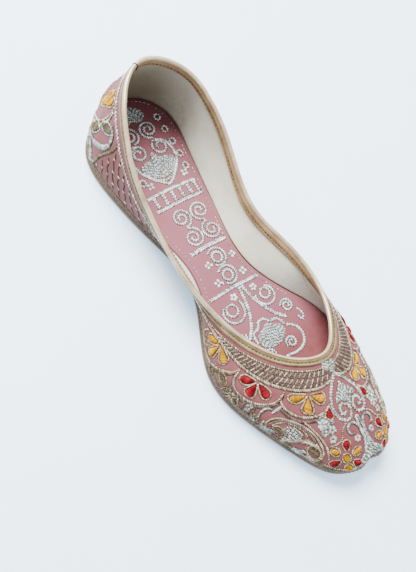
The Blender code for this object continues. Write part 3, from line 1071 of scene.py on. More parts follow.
def walked(cloth, places, pitch, lift):
    """Points, outward and forward directions at even steps along a line of places."""
    points, outs = cloth(places, lift)
    gone = travelled(points)
    count = max(int(gone[-1] / pitch), 1)
    at = (np.arange(count) + 0.5) * gone[-1] / count
    out = unit(read_at(at, gone, outs))
    ahead = read_at(at + LOOK * MM, gone, points) - read_at(at - LOOK * MM, gone, points)
    return read_at(at, gone, points), out, unit(ahead)


def shaken(count, low, high):
    """Random values, one for each stitch."""
    return RANDOM.uniform(low, high, count)


def alternating(count, middle, spread):
    """Tones of a row of stitches, every other one paler, each shaken a little."""
    return middle + np.where(np.arange(count) % 2, -0.08, 0.08) + shaken(count, -spread, spread)


def lay_dark_strip(work, cloth, places, width, thread="shade", lift=BED_LIFT):
    """A low dark strip along a line: painted shade under a line of stitches, or a dark line of the scales on
    its own.
    """
    here, out, ahead = walked(cloth, places, BED_STEP * MM, lift)
    if len(here) < 2:
        return
    ends, _ = cloth(places[[0, -1]], lift)
    here = np.concatenate([ends[:1], here, ends[1:]])
    out = np.concatenate([out[:1], out, out[-1:]])
    ahead = np.concatenate([ahead[:1], ahead, ahead[-1:]])
    side = unit(np.cross(ahead, out))
    reach = side * width * MM / 2
    rows = [here - reach, here + out * BED_HEIGHT * MM, here + reach]
    points = np.stack(rows, axis=1).reshape(-1, 3)
    count = len(here)
    step = 3 * np.arange(count - 1)[:, None]
    quads = [(0, 1, 4, 3), (1, 2, 5, 4), (2, 0, 3, 5)]
    faces = [np.array([(a, b, c), (a, c, d)]) for a, b, c, d in quads]
    faces = np.concatenate(faces)[None] + step[..., None]
    caps = np.array([(0, 2, 1), (3 * count - 3, 3 * count - 2, 3 * count - 1)])
    work.add_bed(thread, points, np.concatenate([faces.reshape(-1, 3), caps]))


def rope(work, cloth, places, thread, width=1.3, pitch=1.05, slant=0.9, painted_shade=0.4, turned=1, height=0.46):
    """Slanted stitches side by side along a line, over a wider strip of painted shade that shows at its
    edges.
    """
    here, out, ahead = walked(cloth, places, pitch * MM, ROPE_LIFT)
    side = unit(np.cross(ahead, out))
    count = len(here)
    reach = width * MM / 2 * (1 + shaken(count, -0.10, 0.10))[:, None]
    lean = turned * slant * width * MM * (1 + shaken(count, -0.2, 0.2))[:, None]
    starts = here - side * reach - ahead * lean / 2
    ends = here + side * reach + ahead * lean / 2
    thick = pitch * MM * (0.65 + shaken(count, -0.10, 0.10))
    tones = alternating(count, 0.58, 0.28)
    work.add(thread, starts, ends, out, thick, height * MM, tones)
    if painted_shade:
        lay_dark_strip(work, cloth, places, width + painted_shade)


def plait(work, cloth, places, thread, width=2.0, pitch=1.45, painted_shade=0.3, height=0.5):
    """Two rows of stitches that lean together along a line, like a flat plait."""
    here, out, ahead = walked(cloth, places, pitch * MM, ROPE_LIFT)
    side = unit(np.cross(ahead, out))
    count = len(here)
    for hand in (-1, 1):
        reach = width * MM / 2 * (1 + shaken(count, -0.12, 0.12))[:, None]
        lean = ahead * 0.52 * width * MM
        starts = here + hand * side * reach - lean
        ends = here - hand * side * 0.06 * width * MM + lean * 0.6 + ahead * (0.25 * hand * pitch * MM)
        thick = pitch * MM * (0.63 + shaken(count, -0.10, 0.10))
        tones = alternating(count, 0.56, 0.30)
        work.add(thread, starts, ends, out, thick, height * MM, tones, 0.05 * MM)
    if painted_shade:
        lay_dark_strip(work, cloth, places, width + painted_shade)


def running(work, cloth, places, thread, length=2.0, gap=0.7, width=0.5, height=0.25):
    """A row of single stitches with gaps."""
    here, out, ahead = walked(cloth, places, (length + gap) * MM, RUNNING_LIFT)
    reach = ahead * length * MM / 2
    tones = 0.5 + shaken(len(here), -0.25, 0.25)
    work.add(thread, here - reach, here + reach, out, width * MM, height * MM, tones)


def swept(work, cloth, places, widths, thread, pitch=0.45, slant=0.35, height=0.36, painted_shade=0.5):
    """Satin stitches across a line whose width changes along it, as given at its start to its end."""
    here, out, ahead = walked(cloth, places, pitch * MM, ROPE_LIFT)
    side = unit(np.cross(ahead, out))
    share = np.linspace(0, 1, len(here))
    width = np.interp(share, np.linspace(0, 1, len(widths)), widths) * MM
    reach = (width / 2 * (1 + shaken(len(here), -0.07, 0.07)))[:, None]
    lean = (slant * width)[:, None]
    tones = 0.5 + shaken(len(here), -0.3, 0.3)
    starts = here - side * reach - ahead * lean / 2
    ends = here + side * reach + ahead * lean / 2
    arch = np.minimum(0.18 * width, 0.35 * MM)
    work.add(thread, starts, ends, out, 0.88 * pitch * MM, height * MM, tones, arch)
    if painted_shade:
        lay_dark_strip(work, cloth, places, float(np.mean(widths)) + painted_shade)


class Patch:
    """A small flat piece of cloth round a place, measured in millimetres along and across."""

    def __init__(self, cloth, centre, toward):
        self.centre = np.asarray(centre, float)
        middle, out = cloth(self.centre[None])
        slopes = []
        for axis in np.eye(2) * TINY:
            ahead, _ = cloth((self.centre + axis)[None])
            behind, _ = cloth((self.centre - axis)[None])
            slopes.append((ahead - behind)[0] / (2 * TINY))
        slopes = np.array(slopes).T
        target = cloth(np.asarray(toward, float)[None])[0][0]
        forward = target - middle[0]
        forward -= (forward @ out[0]) * out[0]
        self.length = np.linalg.norm(forward) / MM
        forward = unit(forward)
        across = np.cross(out[0], forward)
        self.turned = np.linalg.pinv(slopes) @ np.stack([forward, across], axis=1) * MM

    def places(self, offsets):
        return self.centre + np.asarray(offsets, float) @ self.turned.T


# A petal's stitches: the share of its length that they fill, their pitch in mm and their slant
PETAL_SPAN = (0.07, 0.97)
PETAL_PITCH = 0.44
PETAL_SKEW = 0.30
RIM_POINTS = 30


def petal_half(share, width, length):
    """Half the petal's width at a share of its length: pointed base, round end."""
    widest = max(1 - 0.5 * width / length, 0.5)
    taper = np.clip(share / widest, 0, 1) ** 0.72
    round_end = np.sqrt(np.clip(1 - ((share - widest) / (1 - widest)) ** 2, 0, 1))
    return width / 2 * np.where(share < widest, taper, round_end)


def oval_half(share, width, length):
    """Half the width of an oval at a share of its length."""
    return width / 2 * np.sqrt(np.clip(1 - (2 * share - 1) ** 2, 0, 1))


def leaf_half(share, width, length):
    """Half the leaf's width at a share of its length: pointed at both ends."""
    return width / 2 * np.sin(np.pi * np.clip(share, 0, 1)) ** 0.8


def petal(work, cloth, base, tip, width, thread, outline="cream", rim=0.85, half_width=petal_half):
    """A padded satin petal from a pointed base to its tip, with a fine rope round it."""
    patch = Patch(cloth, base, tip)
    length = patch.length
    share = np.arange(*PETAL_SPAN, PETAL_PITCH / length)
    half = half_width(share, width, length)
    skew = PETAL_SKEW * half
    starts = np.stack([share * length - skew, -half], axis=-1)
    ends = np.stack([share * length + skew, half], axis=-1)
    ends_at, _ = cloth(patch.places(ends), STITCH_LIFT)
    starts_at, outs = cloth(patch.places(starts), STITCH_LIFT)
    tones = 0.56 + shaken(len(share), -0.26, 0.22) - 0.22 * (1 - share)
    arch = (0.22 + 0.14 * half) * MM
    work.add(thread, starts_at, ends_at, outs, 0.50 * MM, 0.42 * MM, tones, arch)
    if outline is None:
        return
    out_and_back = np.linspace(0, 1, RIM_POINTS), np.linspace(1, 0, RIM_POINTS)[1:]
    round_it = np.concatenate(out_and_back)
    wide = half_width(round_it, width, length)
    across = np.concatenate([wide[:RIM_POINTS], -wide[RIM_POINTS:]])
    inner = np.stack([round_it * length, across], axis=-1)
    slope = np.gradient(inner, axis=0)
    away = unit(np.stack([-slope[:, 1], slope[:, 0]], axis=-1))
    edge = inner + away * (0.5 * rim + 0.1)
    rope(work, cloth, patch.places(edge), outline, width=rim, pitch=0.74, painted_shade=0.5, height=0.34)


def leaf(work, cloth, base, tip, width, thread="gold", outline="cream", rim=0.6):
    """A petal that is pointed at both ends."""
    petal(work, cloth, base, tip, width, thread, outline, rim, leaf_half)


def inside_spans(outline, level):
    """Where a level line crosses a closed outline, as (from, to) pairs."""
    ends = np.roll(outline, -1, axis=0)
    crosses = (outline[:, 1] > level) != (ends[:, 1] > level)
    first, last = outline[crosses], ends[crosses]
    share = (level - first[:, 1]) / (last[:, 1] - first[:, 1])
    found = np.sort(first[:, 0] + share * (last[:, 0] - first[:, 0]))
    return list(zip(found[::2], found[1::2]))


def fill(
    work, cloth, to_places, outline, thread,
    angle=0.0, length=2.1, gap=0.86, width=0.60, height=0.46, keep=1.0, painted_shade=True,
):
    """Rows of short stitches inside a closed outline given in a chart's millimetres."""
    outline = np.asarray(outline, float)
    turn = np.radians(angle)
    spin = np.array([[np.cos(turn), -np.sin(turn)], [np.sin(turn), np.cos(turn)]])
    laid = outline @ spin
    starts, ends, under = [], [], []
    levels = np.arange(laid[:, 1].min() + gap / 2, laid[:, 1].max(), gap)
    for number, level in enumerate(levels):
        for low, high in inside_spans(laid, level):
            if high - low > 0.8:
                cuts = np.linspace(low, high, int((high - low) / 2.5) + 2)
                under.extend(((a, level), (b, level)) for a, b in zip(cuts, cuts[1:]))
            offset = length * ((number * 0.37) % 1)
            cuts = np.arange(low - offset, high, length)
            for cut in cuts:
                start, end = max(cut, low), min(cut + length * 0.96, high)
                if end - start > 0.45 and RANDOM.random() < keep:
                    sway = RANDOM.uniform(-0.26, 0.26, 2)
                    starts.append((start, level + sway[0]))
                    ends.append((end, level + sway[1]))
    if not starts:
        return
    starts_at, outs = cloth(to_places(np.array(starts) @ spin.T), STITCH_LIFT)
    ends_at, _ = cloth(to_places(np.array(ends) @ spin.T), STITCH_LIFT)
    tones = 0.62 + shaken(len(starts), -0.34, 0.34)
    work.add(thread, starts_at, ends_at, outs, width * MM, height * MM, tones, 0.10 * MM)
    # Painted shade: low dark grey rows under the stitches, which show in the gaps between them
    if not painted_shade:
        return
    under = np.array(under)
    starts_at, outs = cloth(to_places(under[:, 0] @ spin.T), BED_LIFT)
    ends_at, _ = cloth(to_places(under[:, 1] @ spin.T), BED_LIFT)
    tones = 0.5 + shaken(len(under), -0.3, 0.3)
    work.add("painted_shade_grey", starts_at, ends_at, outs, 1.5 * gap * MM, 0.14 * MM, tones)


def floret(work, cloth, to_places, centre, radius, thread, petals=5, start=0.0):
    """A little flower of fans of straight stitches round a middle."""
    starts, ends = [], []
    for petal_angle in np.radians(start) + np.arange(petals) * 2 * np.pi / petals:
        for sway in (-0.36, -0.12, 0.12, 0.36):
            angle = petal_angle + sway
            direction = np.array([np.cos(angle), np.sin(angle)])
            reach = radius * (1.05 - 1.2 * sway * sway)
            starts.append(centre + direction * radius * 0.18)
            ends.append(centre + direction * reach)
    starts_at, outs = cloth(to_places(np.array(starts)), STITCH_LIFT)
    ends_at, _ = cloth(to_places(np.array(ends)), STITCH_LIFT)
    tones = 0.5 + shaken(len(starts), -0.3, 0.35)
    work.add(thread, starts_at, ends_at, outs, 0.5 * MM, 0.32 * MM, tones, 0.12 * MM)


# The upper's embroidery; each shape is charted on the outer side and repeated on the inner side

PETAL_START = 0.15


class Side:
    """One side of the upper with its threads; the inner side mirrors the outer side's charts."""

    def __init__(self, work, mirror):
        self.work = work
        self.mirror = mirror
        self.sign = -1 if mirror else 1

    def turned(self, places):
        """Places of the outer side, moved to this side."""
        return other_side(places) if self.mirror else places

    def collar(self, points):
        return self.turned(by_collar(points))

    def foot(self, points):
        return self.turned(by_foot(points))

    def vamp(self, points):
        return by_plan(np.asarray(points, float) * [self.sign, 1])

    def lay(self, kind, *given, **choices):
        """Lays one kind of stitches on the upper's cloth."""
        kind(self.work, upper_cloth, *given, **choices)

    def line(self, points, thread, width, closed=False):
        """A rope through points in the vamp's chart."""
        self.lay(rope, self.vamp(smooth_line(points, closed)), thread, width=width)

    def wall_line(self, points, thread, width):
        """A rope through points in the collar's chart."""
        self.lay(rope, self.collar(smooth_line(points)), thread, width=width)

    def fill(self, outline, thread="silver", lean=0, **choices):
        """Fills an outline on the vamp; lean is how far the rows turn from straight back."""
        outline = np.array(outline) * [self.sign, 1]
        self.lay(fill, by_plan, outline, thread, angle=90 + lean * self.sign, **choices)

    def floret(self, centre, radius, petals, start=0.0):
        """A silver floret on the vamp."""
        centre = np.array(centre) * [self.sign, 1]
        self.lay(floret, by_plan, centre, radius, "silver", petals, start)

    def flower(self, chart, base, tips, width, thread):
        """Petals that open from one base."""
        for tip in tips:
            start = np.array(base) + PETAL_START * (np.array(tip) - base)
            self.lay(petal, chart(start), chart(tip), width, thread)


CRESCENT_FROM, CRESCENT_TO = 0.262, 0.5
CRESCENT_INNER = 6.1
CRESCENT_MIDDLE = 9.5
CRESCENT_EDGE = (
    (0.262, 7.0), (0.280, 7.6), (0.300, 9.6), (0.320, 12.4), (0.340, 14.2), (0.360, 15.2), (0.390, 15.9),
    (0.420, 15.8), (0.445, 15.2), (0.468, 14.0), (0.485, 12.6), (0.500, 10.8),
)


BAR_PITCH = 0.62
BARS_TO_A_LINE = 4
BAR_LEAN = (0.004, 0.021)


def wall_length(turn):
    """Length of the wall from the collar to the foot at a turn, in millimetres."""
    path = wall_at(turn, MERIDIAN)
    return np.linalg.norm(np.diff(path, axis=0), axis=1).sum() / MM


def crescent_edge(turns):
    """How far below the collar the band round the throat ends."""
    stations = np.array(CRESCENT_EDGE)
    return np.interp(turns, stations[:, 0], stations[:, 1])


def stitch_crescent(side):
    """The ladder band round the throat: taupe bars with a paler line at every few."""
    turns = np.linspace(CRESCENT_FROM, CRESCENT_TO, 150)
    side.lay(rope, side.collar(level_line(turns, CRESCENT_INNER)), "cream", width=0.9, pitch=1.2)
    side.wall_line(CRESCENT_EDGE, "cream", 1.5)
    middle, _ = upper_cloth(by_collar(level_line(turns, CRESCENT_MIDDLE)))
    gone = travelled(middle)
    at = np.interp(np.arange(0, gone[-1], BAR_PITCH * MM), gone, turns)
    for number, turn in enumerate(at):
        line = number % BARS_TO_A_LINE == 0
        leaning = rounded(turn, 0.29, 0.43) * (1 - 0.5 * rounded(turn, 0.47, 0.5))
        lean = BAR_LEAN[0] + (BAR_LEAN[1] - BAR_LEAN[0]) * leaning
        near, far = CRESCENT_INNER + 0.6, crescent_edge(turn - lean) - 0.7
        if far - near < 1.0:
            continue
        lie = np.array([near - 0.2, (near + far) / 2, far + 0.2])
        share = (lie - near) / (far - near)
        bend = turn - lean * share
        low, outs = upper_cloth(side.collar(np.stack([bend, lie], axis=-1)), 0.00002)
        tones = 0.5 + shaken(2, -0.3, 0.3)
        side.work.add("shade", low[:-1], low[1:], outs[:-1], 1.3 * BAR_PITCH * MM, 0.12 * MM, tones)
        size = 3.2 if line else 1.3
        offset = 0 if line else -size * RANDOM.random()
        cuts = np.clip(np.append(np.arange(near + offset, far, size), far), near, far)
        cuts = cuts[np.append(True, np.diff(cuts) > 0.3)]
        share = (cuts - near) / (far - near)
        across = turn - lean * share
        places = side.collar(np.stack([across, cuts], axis=-1))
        starts, outs = upper_cloth(places[:-1], RUNNING_LIFT)
        ends, _ = upper_cloth(places[1:], RUNNING_LIFT)
        tones = 0.5 + shaken(len(starts), -0.3, 0.3) + (0.1 if line else 0)
        thread, height = ("cream", 0.46) if line else ("taupe", 0.26)
        side.work.add(thread, starts, ends, outs, 0.46 * MM, height * MM, tones)
    side.fill([(0.0, 190.6), (2.6, 191.0), (4.6, 193.6), (2.4, 196.4), (0.0, 199.6)], lean=-30, length=1.5)


TOE_FLOWER = (14.6, 238.9)
TOE_PETAL_REACH = 2.3
TOE_PETALS = (
    ((19.0, 233.2), "yellow"), ((14.9, 239.2), "yellow"), ((8.6, 238.9), "yellow"),
    ((16.6, 244.4), "yellow"), ((12.6, 233.6), "red"), ((20.6, 238.4), "red"), ((10.4, 244.2), "red"),
)


def stitch_flowers(side):
    """Two flowers beside the throat, one on the vamp, a bud and the big flower at the toe."""
    for chart, base, tips, width, thread in (
        (side.collar, (0.295, 9.4), ((0.2835, 12.4), (0.2925, 18.8), (0.306, 15.8)), 4.2, "yellow"),
        (side.collar, (0.34, 15.8), ((0.3255, 18.6), (0.3365, 24.9), (0.354, 21.9)), 4.6, "red"),
        (side.vamp, (17.3, 201.0), ((25.6, 200.0), (21.9, 209.6), (11.4, 208.4)), 4.7, "yellow"),
    ):
        side.flower(chart, base, tips, width, thread)
    side.lay(petal, side.vamp((11.8, 212.0)), side.vamp((13.8, 217.4)), 3.4, "red", rim=0.7)
    for place, thread in TOE_PETALS:
        away = np.array(place) - TOE_FLOWER
        away = unit(away) if np.linalg.norm(away) > 1 else np.array((0.0, 1.0))
        reach = TOE_PETAL_REACH * away
        half_width, width = (oval_half, 3.5) if thread == "yellow" else (petal_half, 4.0)
        ends = side.vamp(place - reach), side.vamp(place + reach)
        side.lay(petal, *ends, width, thread, rim=0.75, half_width=half_width)


def stitch_cells(side):
    """The scalloped arches round the flowers, and the lines that carry them to the toe."""
    cell_a = smooth_line([
        (0.279, 9.4), (0.2765, 14.0), (0.2825, 19.0), (0.294, 21.4), (0.306, 20.2), (0.316, 17.2),
        (0.320, 14.0),
    ])
    cell_red = smooth_line([
        (0.3205, 14.4), (0.320, 19.5), (0.325, 24.4), (0.3365, 26.8), (0.350, 26.2), (0.362, 23.4),
        (0.369, 19.4), (0.3715, 17.0),
    ])
    for cell, band in ((cell_a, "gold"), (cell_red, "taupe")):
        side.lay(rope, side.collar(cell), "cream", width=1.0)
        outside = cell + [0, 1.45] * np.sin(np.pi * np.linspace(0.06, 0.94, len(cell)))[:, None]
        side.lay(rope, side.collar(outside[8:-8]), band, width=1.7)
    cell_b = [
        (30.0, 196.5), (30.0, 200.4), (28.2, 205.2), (24.6, 209.6), (19.0, 212.6), (13.6, 212.8),
        (10.4, 210.6),
    ]
    side.line(cell_b, "cream", 1.3)
    side.line([(31.6, 200.5), (29.6, 206.5), (26.0, 211.2), (20.6, 214.2), (15.4, 214.3)], "taupe", 1.6)
    side.line([(25.2, 212.0), (23.2, 218.5), (21.9, 225.0), (21.7, 230.0), (22.9, 235.0)], "cream", 1.2)
    side.line([(7.4, 223.4), (10.6, 225.4), (13.0, 229.2), (16.4, 230.2), (20.6, 229.4)], "cream", 0.8)


def stitch_middle(side):
    """One half of the vamp's middle: pointed arch, bell, scrolls and stem."""
    arch = smooth_line([
        (0.6, 199.4), (3.6, 202.6), (7.0, 206.8), (9.5, 211.4), (10.0, 216.4), (8.6, 220.6), (5.6, 222.6),
        (2.6, 221.8), (1.2, 218.9), (1.9, 215.8), (4.6, 214.2), (6.9, 215.7), (7.0, 218.2), (5.2, 219.3),
        (4.2, 218.0),
    ])
    side.lay(plait, side.vamp(arch), "silver", width=1.5)
    bell = [
        (0.0, 203.2), (2.6, 206.4), (6.4, 210.9), (6.8, 212.6), (3.6, 213.0), (1.2, 214.6), (0.0, 217.8),
    ]
    side.fill(bell, lean=-25, length=1.9, gap=0.72)
    scroll = smooth_line([
        (1.7, 232.4), (1.7, 228.6), (3.2, 225.6), (6.2, 224.8), (8.2, 226.8), (7.8, 229.6), (5.8, 230.2),
    ])
    side.lay(swept, side.vamp(scroll), (0.8, 1.3, 1.6, 1.7, 1.6, 1.5, 1.0), "silver", pitch=0.7)
    side.floret((5.2, 233.4), 2.0, 6)
    side.floret((18.2, 217.8), 3.0, 6)
    side.floret((15.6, 222.8), 2.4, 5)
    side.floret((19.6, 222.2), 2.0, 5)
    side.floret((17.2, 227.0), 2.2, 5, start=20)
    wisps = [
        (15.6, 213.0), (20.6, 214.4), (20.8, 219.8), (16.6, 222.6), (12.4, 219.6), (12.8, 217.6),
        (15.4, 217.8),
    ]
    side.fill(wisps, lean=35, length=1.3, keep=0.75)
    stem = smooth_line([
        (0.6, 223.0), (1.0, 228.0), (1.2, 233.0), (2.0, 238.0), (4.2, 242.0), (8.6, 245.0), (13.0, 246.6),
    ])
    side.lay(rope, side.vamp(stem), "silver", width=1.6, slant=0.9, turned=side.sign)
    flare = [
        (0.0, 228), (1.0, 233), (1.4, 237), (3.4, 241), (7.6, 244.4), (12.6, 246.4), (12.0, 247.4),
        (5.0, 246.4), (0.0, 245.2),
    ]
    side.fill(flare, lean=-50, length=1.8, gap=0.72)


def stitch_leaves(side):
    """Leaves, loops and scrolls between the flowers and the sole."""
    for base, tip, width in (
        ((0.2985, 23.0), (0.3035, 28.0), 2.3), ((0.3075, 20.8), (0.3165, 25.6), 2.9),
        ((0.3165, 31.0), (0.3235, 25.6), 2.5), ((0.3275, 29.0), (0.332, 35.0), 2.8),
    ):
        side.lay(leaf, side.collar(base), side.collar(tip), width)

    def by_border(points):
        return side.foot(points / [AROUND_IN_MM, 1])

    ground_stitches = [
        (165.0, 4.2), (165.0, 8.6), (180.0, 10.4), (192.0, 8.0), (205.0, 8.6), (220.0, 7.4), (232.0, 4.2),
    ]
    sparse = {"length": 1.7, "painted_shade": False}
    side.lay(fill, by_border, ground_stitches, "gold", angle=25, gap=1.25, keep=0.55, **sparse)
    arches = (
        [(0.3185, 24.0), (0.320, 27.6), (0.3255, 28.2), (0.329, 27.0)],
        [(0.334, 37.4), (0.344, 37.0), (0.350, 33.6), (0.352, 30.0), (0.356, 27.6)],
    )
    for arch in arches:
        side.wall_line(arch, "gold", 1.1)

    def brush(points, widths, slant=0.35):
        places, widths = side.vamp(smooth_line(points)), 0.82 * np.array(widths)
        side.lay(swept, places, widths, "silver", slant=slant, pitch=0.85, height=0.42)

    paisley = [
        (39.7, 203.7), (39.2, 202.0), (37.0, 201.8), (34.2, 203.4), (31.4, 206.4), (28.3, 210.4),
        (25.7, 215.3), (24.0, 220.1), (23.4, 225.5), (23.6, 229.4), (24.8, 232.1), (26.6, 232.3),
        (28.1, 230.1), (29.6, 226.8),
    ]
    side.line(paisley, "cream", 1.1)
    lining = [
        (38.3, 203.4), (36.2, 203.9), (33.2, 205.6), (30.0, 209.2), (27.3, 213.9), (25.6, 219.0),
        (24.9, 223.4),
    ]
    side.line(lining, "taupe", 1.5)
    inside = [(37.6, 204.6), (35.4, 205.2), (32.6, 207.0), (29.6, 210.8), (27.6, 215.0), (26.6, 219.0)]
    side.line(inside, "cream", 0.8)
    brush([
        (37.4, 208.0), (38.6, 205.4), (39.9, 202.8), (40.4, 201.2), (39.6, 200.4),
    ], (0.8, 1.2, 1.4, 1.2, 0.8))
    brush([
        (41.2, 197.7), (40.1, 196.2), (37.7, 195.6), (35.7, 196.6), (34.9, 198.2),
    ], (0.8, 1.3, 1.6, 1.6, 0.9), slant=0.7)
    brush([(35.8, 199.4), (33.4, 199.2), (30.5, 198.8)], (1.2, 2.4, 1.4), slant=0.7)
    side.lay(leaf, side.vamp((37.4, 205.6)), side.vamp((34.6, 211.4)), 2.9)
    lattice = [
        (36.6, 206.6), (34.0, 206.6), (30.8, 209.6), (28.0, 214.4), (26.6, 220.0), (25.2, 226.0),
        (27.6, 228.4), (31.0, 221.0), (35.0, 213.6),
    ]
    side.fill(lattice, "gold", lean=-40, gap=1.2, keep=0.6, **sparse)
    tuft = [
        (34.5, 208.7), (31.7, 209.7), (29.0, 213.3), (27.9, 216.9), (29.4, 218.6), (32.8, 216.6),
        (35.2, 213.3),
    ]
    side.fill(tuft, lean=20, length=1.8, gap=0.78)
    spine = smooth_line([
        (35.3, 213.7), (33.6, 215.9), (30.6, 218.7), (27.7, 221.3), (25.7, 224.6), (25.0, 227.1),
    ])
    side.lay(plait, side.vamp(spine), "pale_gold", width=2.0, pitch=1.1)
    side.lay(leaf, side.vamp((28.0, 225.0)), side.vamp((26.0, 230.4)), 2.4, outline="gold")
    eye = [
        (28.7, 224.2), (27.0, 223.8), (25.4, 225.1), (24.7, 228.5), (25.4, 231.2), (27.0, 231.3),
        (28.5, 228.8), (29.2, 226.0),
    ]
    side.line(eye, "cream", 0.8, closed=True)
    brush([(32.4, 220.6), (31.2, 223.8), (29.2, 227.8)], (2.0, 2.8, 1.2), slant=0.9)
    side.line([
        (35.0, 214.6), (33.6, 218.0), (32.4, 221.4), (30.6, 225.6), (28.6, 229.6), (26.4, 233.0),
        (24.4, 236.4),
    ], "gold", 1.0)
    side.line([
        (47.2, 179.3), (46.2, 180.0), (45.2, 183.0), (45.3, 185.8), (46.2, 185.0), (46.8, 181.6),
    ], "cream", 0.8, closed=True)
    side.line([
        (44.4, 187.9), (42.1, 188.3), (40.8, 191.4), (41.7, 193.4), (43.4, 192.9), (44.3, 190.4),
    ], "gold", 1.0, closed=True)
    side.floret((42.7, 190.6), 1.9, 5)
    side.line([(45.8, 187.4), (44.9, 190.6), (44.2, 193.6), (42.9, 196.6), (41.6, 199.8)], "taupe", 1.3)
    side.fill([(43.6, 193.4), (41.9, 194.6), (41.4, 198.6), (42.6, 198.0)], length=1.3, gap=0.6)


QUARTER_BORDER = (
    (0.1335, 11.0), (0.1325, 16.0), (0.129, 22.0), (0.1245, 29.0), (0.122, 36.0), (0.119, 43.6),
)


def stitch_heel(side):
    """The flowers, the leaves and the big loops on the quarter beside the heel."""
    tips = ((0.067, 12.6), (0.055, 19.4), (0.060, 27.4), (0.085, 11.8))
    side.flower(side.collar, (0.080, 20.6), tips, 5.0, "yellow")
    tips = ((0.012, 40.4), (0.024, 46.0), (0.037, 41.6))
    side.flower(side.collar, (0.0255, 36.4), tips, 4.6, "yellow")
    scallop = [
        (0.096, 10.0), (0.0985, 15.0), (0.097, 20.5), (0.091, 26.0), (0.081, 31.0), (0.068, 36.5),
        (0.057, 42.0), (0.052, 46.5),
    ]
    side.wall_line(scallop, "cream", 1.1)
    rungs = smooth_line(np.array(scallop) + [0.0045, 1.4])
    side.lay(rope, side.collar(rungs), "pale_gold", width=2.3, pitch=1.35, slant=0.1)
    side.wall_line([
        (0.010, 12.0), (0.022, 20.0), (0.034, 27.0), (0.046, 32.0), (0.052, 36.0),
    ], "cream", 1.1)
    side.wall_line([(0.004, 33.0), (0.016, 31.0), (0.030, 31.6), (0.040, 35.6), (0.046, 40.6)], "gold", 1.2)
    side.lay(leaf, side.collar((0.0985, 22.6)), side.collar((0.119, 14.6)), 4.4, outline="silver", rim=0.9)
    bowl = smooth_line([
        (0.113, 13.4), (0.121, 13.8), (0.1255, 17.4), (0.1235, 22.4), (0.118, 27.0), (0.109, 31.4),
        (0.100, 34.4),
    ])
    side.lay(swept, side.collar(bowl), (1.4, 1.8, 2.6, 3.6, 3.8, 3.0, 1.8), "silver", pitch=0.6)
    stalk = smooth_line([(0.100, 34.4), (0.092, 37.0), (0.084, 40.6), (0.076, 45.0), (0.073, 47.0)])
    side.lay(swept, side.collar(stalk), (1.6, 1.8, 1.6, 1.4), "cream")
    side.lay(leaf, side.collar((0.0835, 35.0)), side.collar((0.103, 25.2)), 5.8, outline="silver", rim=0.9)
    bell = smooth_line([
        (0.086, 47.0), (0.090, 41.0), (0.097, 37.6), (0.106, 37.4), (0.1125, 40.6), (0.114, 45.0),
    ])
    side.lay(swept, side.collar(bell), (1.8, 1.8, 2.0, 3.0, 4.2, 3.2), "silver", pitch=0.6)
    side.lay(leaf, side.collar((0.096, 46.2)), side.collar((0.104, 40.4)), 2.6, outline=None)
    side.wall_line(QUARTER_BORDER, "gold", 2.0)
    stitch_scales(side)


# The scales' lines: turns for where they start, their pitch, wave and lean, the rest in millimetres
SCALE_FROM, SCALE_TO = 0.102, 0.262
SCALE_TOP, SCALE_DEPTH, SCALE_FOOT, SCALE_STEP = 11.0, 34.0, 5.0, 0.4
SCALE_COLUMN = 0.0108
SCALE_ROW = 5.4
SCALE_WAVE = 0.0011
SCALE_LEAN = 0.00101


def stitch_scales(side):
    """Leaning lines with a fine wave, tied with short pale stitches, on the quarter's plain ground."""
    border_turn, border_depth = np.array(QUARTER_BORDER).T
    for column, first in enumerate(np.arange(SCALE_FROM, SCALE_TO, SCALE_COLUMN)):
        down = np.arange(0, SCALE_DEPTH, SCALE_STEP)
        shift = SCALE_ROW / 2 * (column % 2)
        wave = SCALE_WAVE * np.sin(2 * np.pi * (down + shift) / SCALE_ROW)
        turns, depth = first + SCALE_LEAN * down + wave, SCALE_TOP + down
        lowest = np.array([wall_length(turn) for turn in turns]) - SCALE_FOOT
        past_border = turns > np.interp(depth, border_depth, border_turn) + 0.004
        inside = past_border & (depth < lowest) & (turns < SCALE_TO - 0.004)
        if inside.sum() < 6:
            continue
        line = np.stack([turns, depth], axis=-1)[inside]
        side.lay(lay_dark_strip, side.collar(line), 0.75, "line", 0.00015)
        at = line[np.arange(int(shift / 0.8) + 3, len(line) - 1, int(SCALE_ROW / SCALE_STEP))]
        if len(at) == 0:
            continue
        starts, outs = upper_cloth(side.collar(at + [-0.0016, 0.35]), 0.00018)
        ends, _ = upper_cloth(side.collar(at + [0.0016, -0.35]), 0.00018)
        tones = 0.5 + shaken(len(at), -0.2, 0.2)
        side.work.add("chain", starts, ends, outs, 0.6 * MM, 0.35 * MM, tones)


def stitch_sides(side):
    """Borders along the sole and the collar."""
    whole = np.linspace(0.008, 0.497, 420)
    front = np.linspace(0.425, 0.497, 90)
    back = np.linspace(0.008, 0.120, 120)
    for turns, rise, thread, width in (
        (whole, 1.1, "taupe", 1.2), (whole, 2.5, "gold", 1.1),
        (front, 3.9, "cream", 1.0), (back, 4.0, "cream", 1.0),
    ):
        side.lay(rope, side.foot(level_line(turns, rise)), thread, width=width)
    chain = [(0.012, 8.4), (0.05, 8.4), (0.09, 8.6), (0.13, 9.2), (0.18, 9.0), (0.22, 8.4), (0.262, 7.2)]
    places = side.collar(smooth_line(chain, steps=40))
    side.lay(rope, places, "chain", width=1.5, pitch=1.9, slant=1.25, height=0.55)
    second = [(0.185, 6.4), (0.23, 6.2), (0.262, 6.0)]
    side.lay(rope, side.collar(smooth_line(second, steps=30)), "cream", width=0.9)


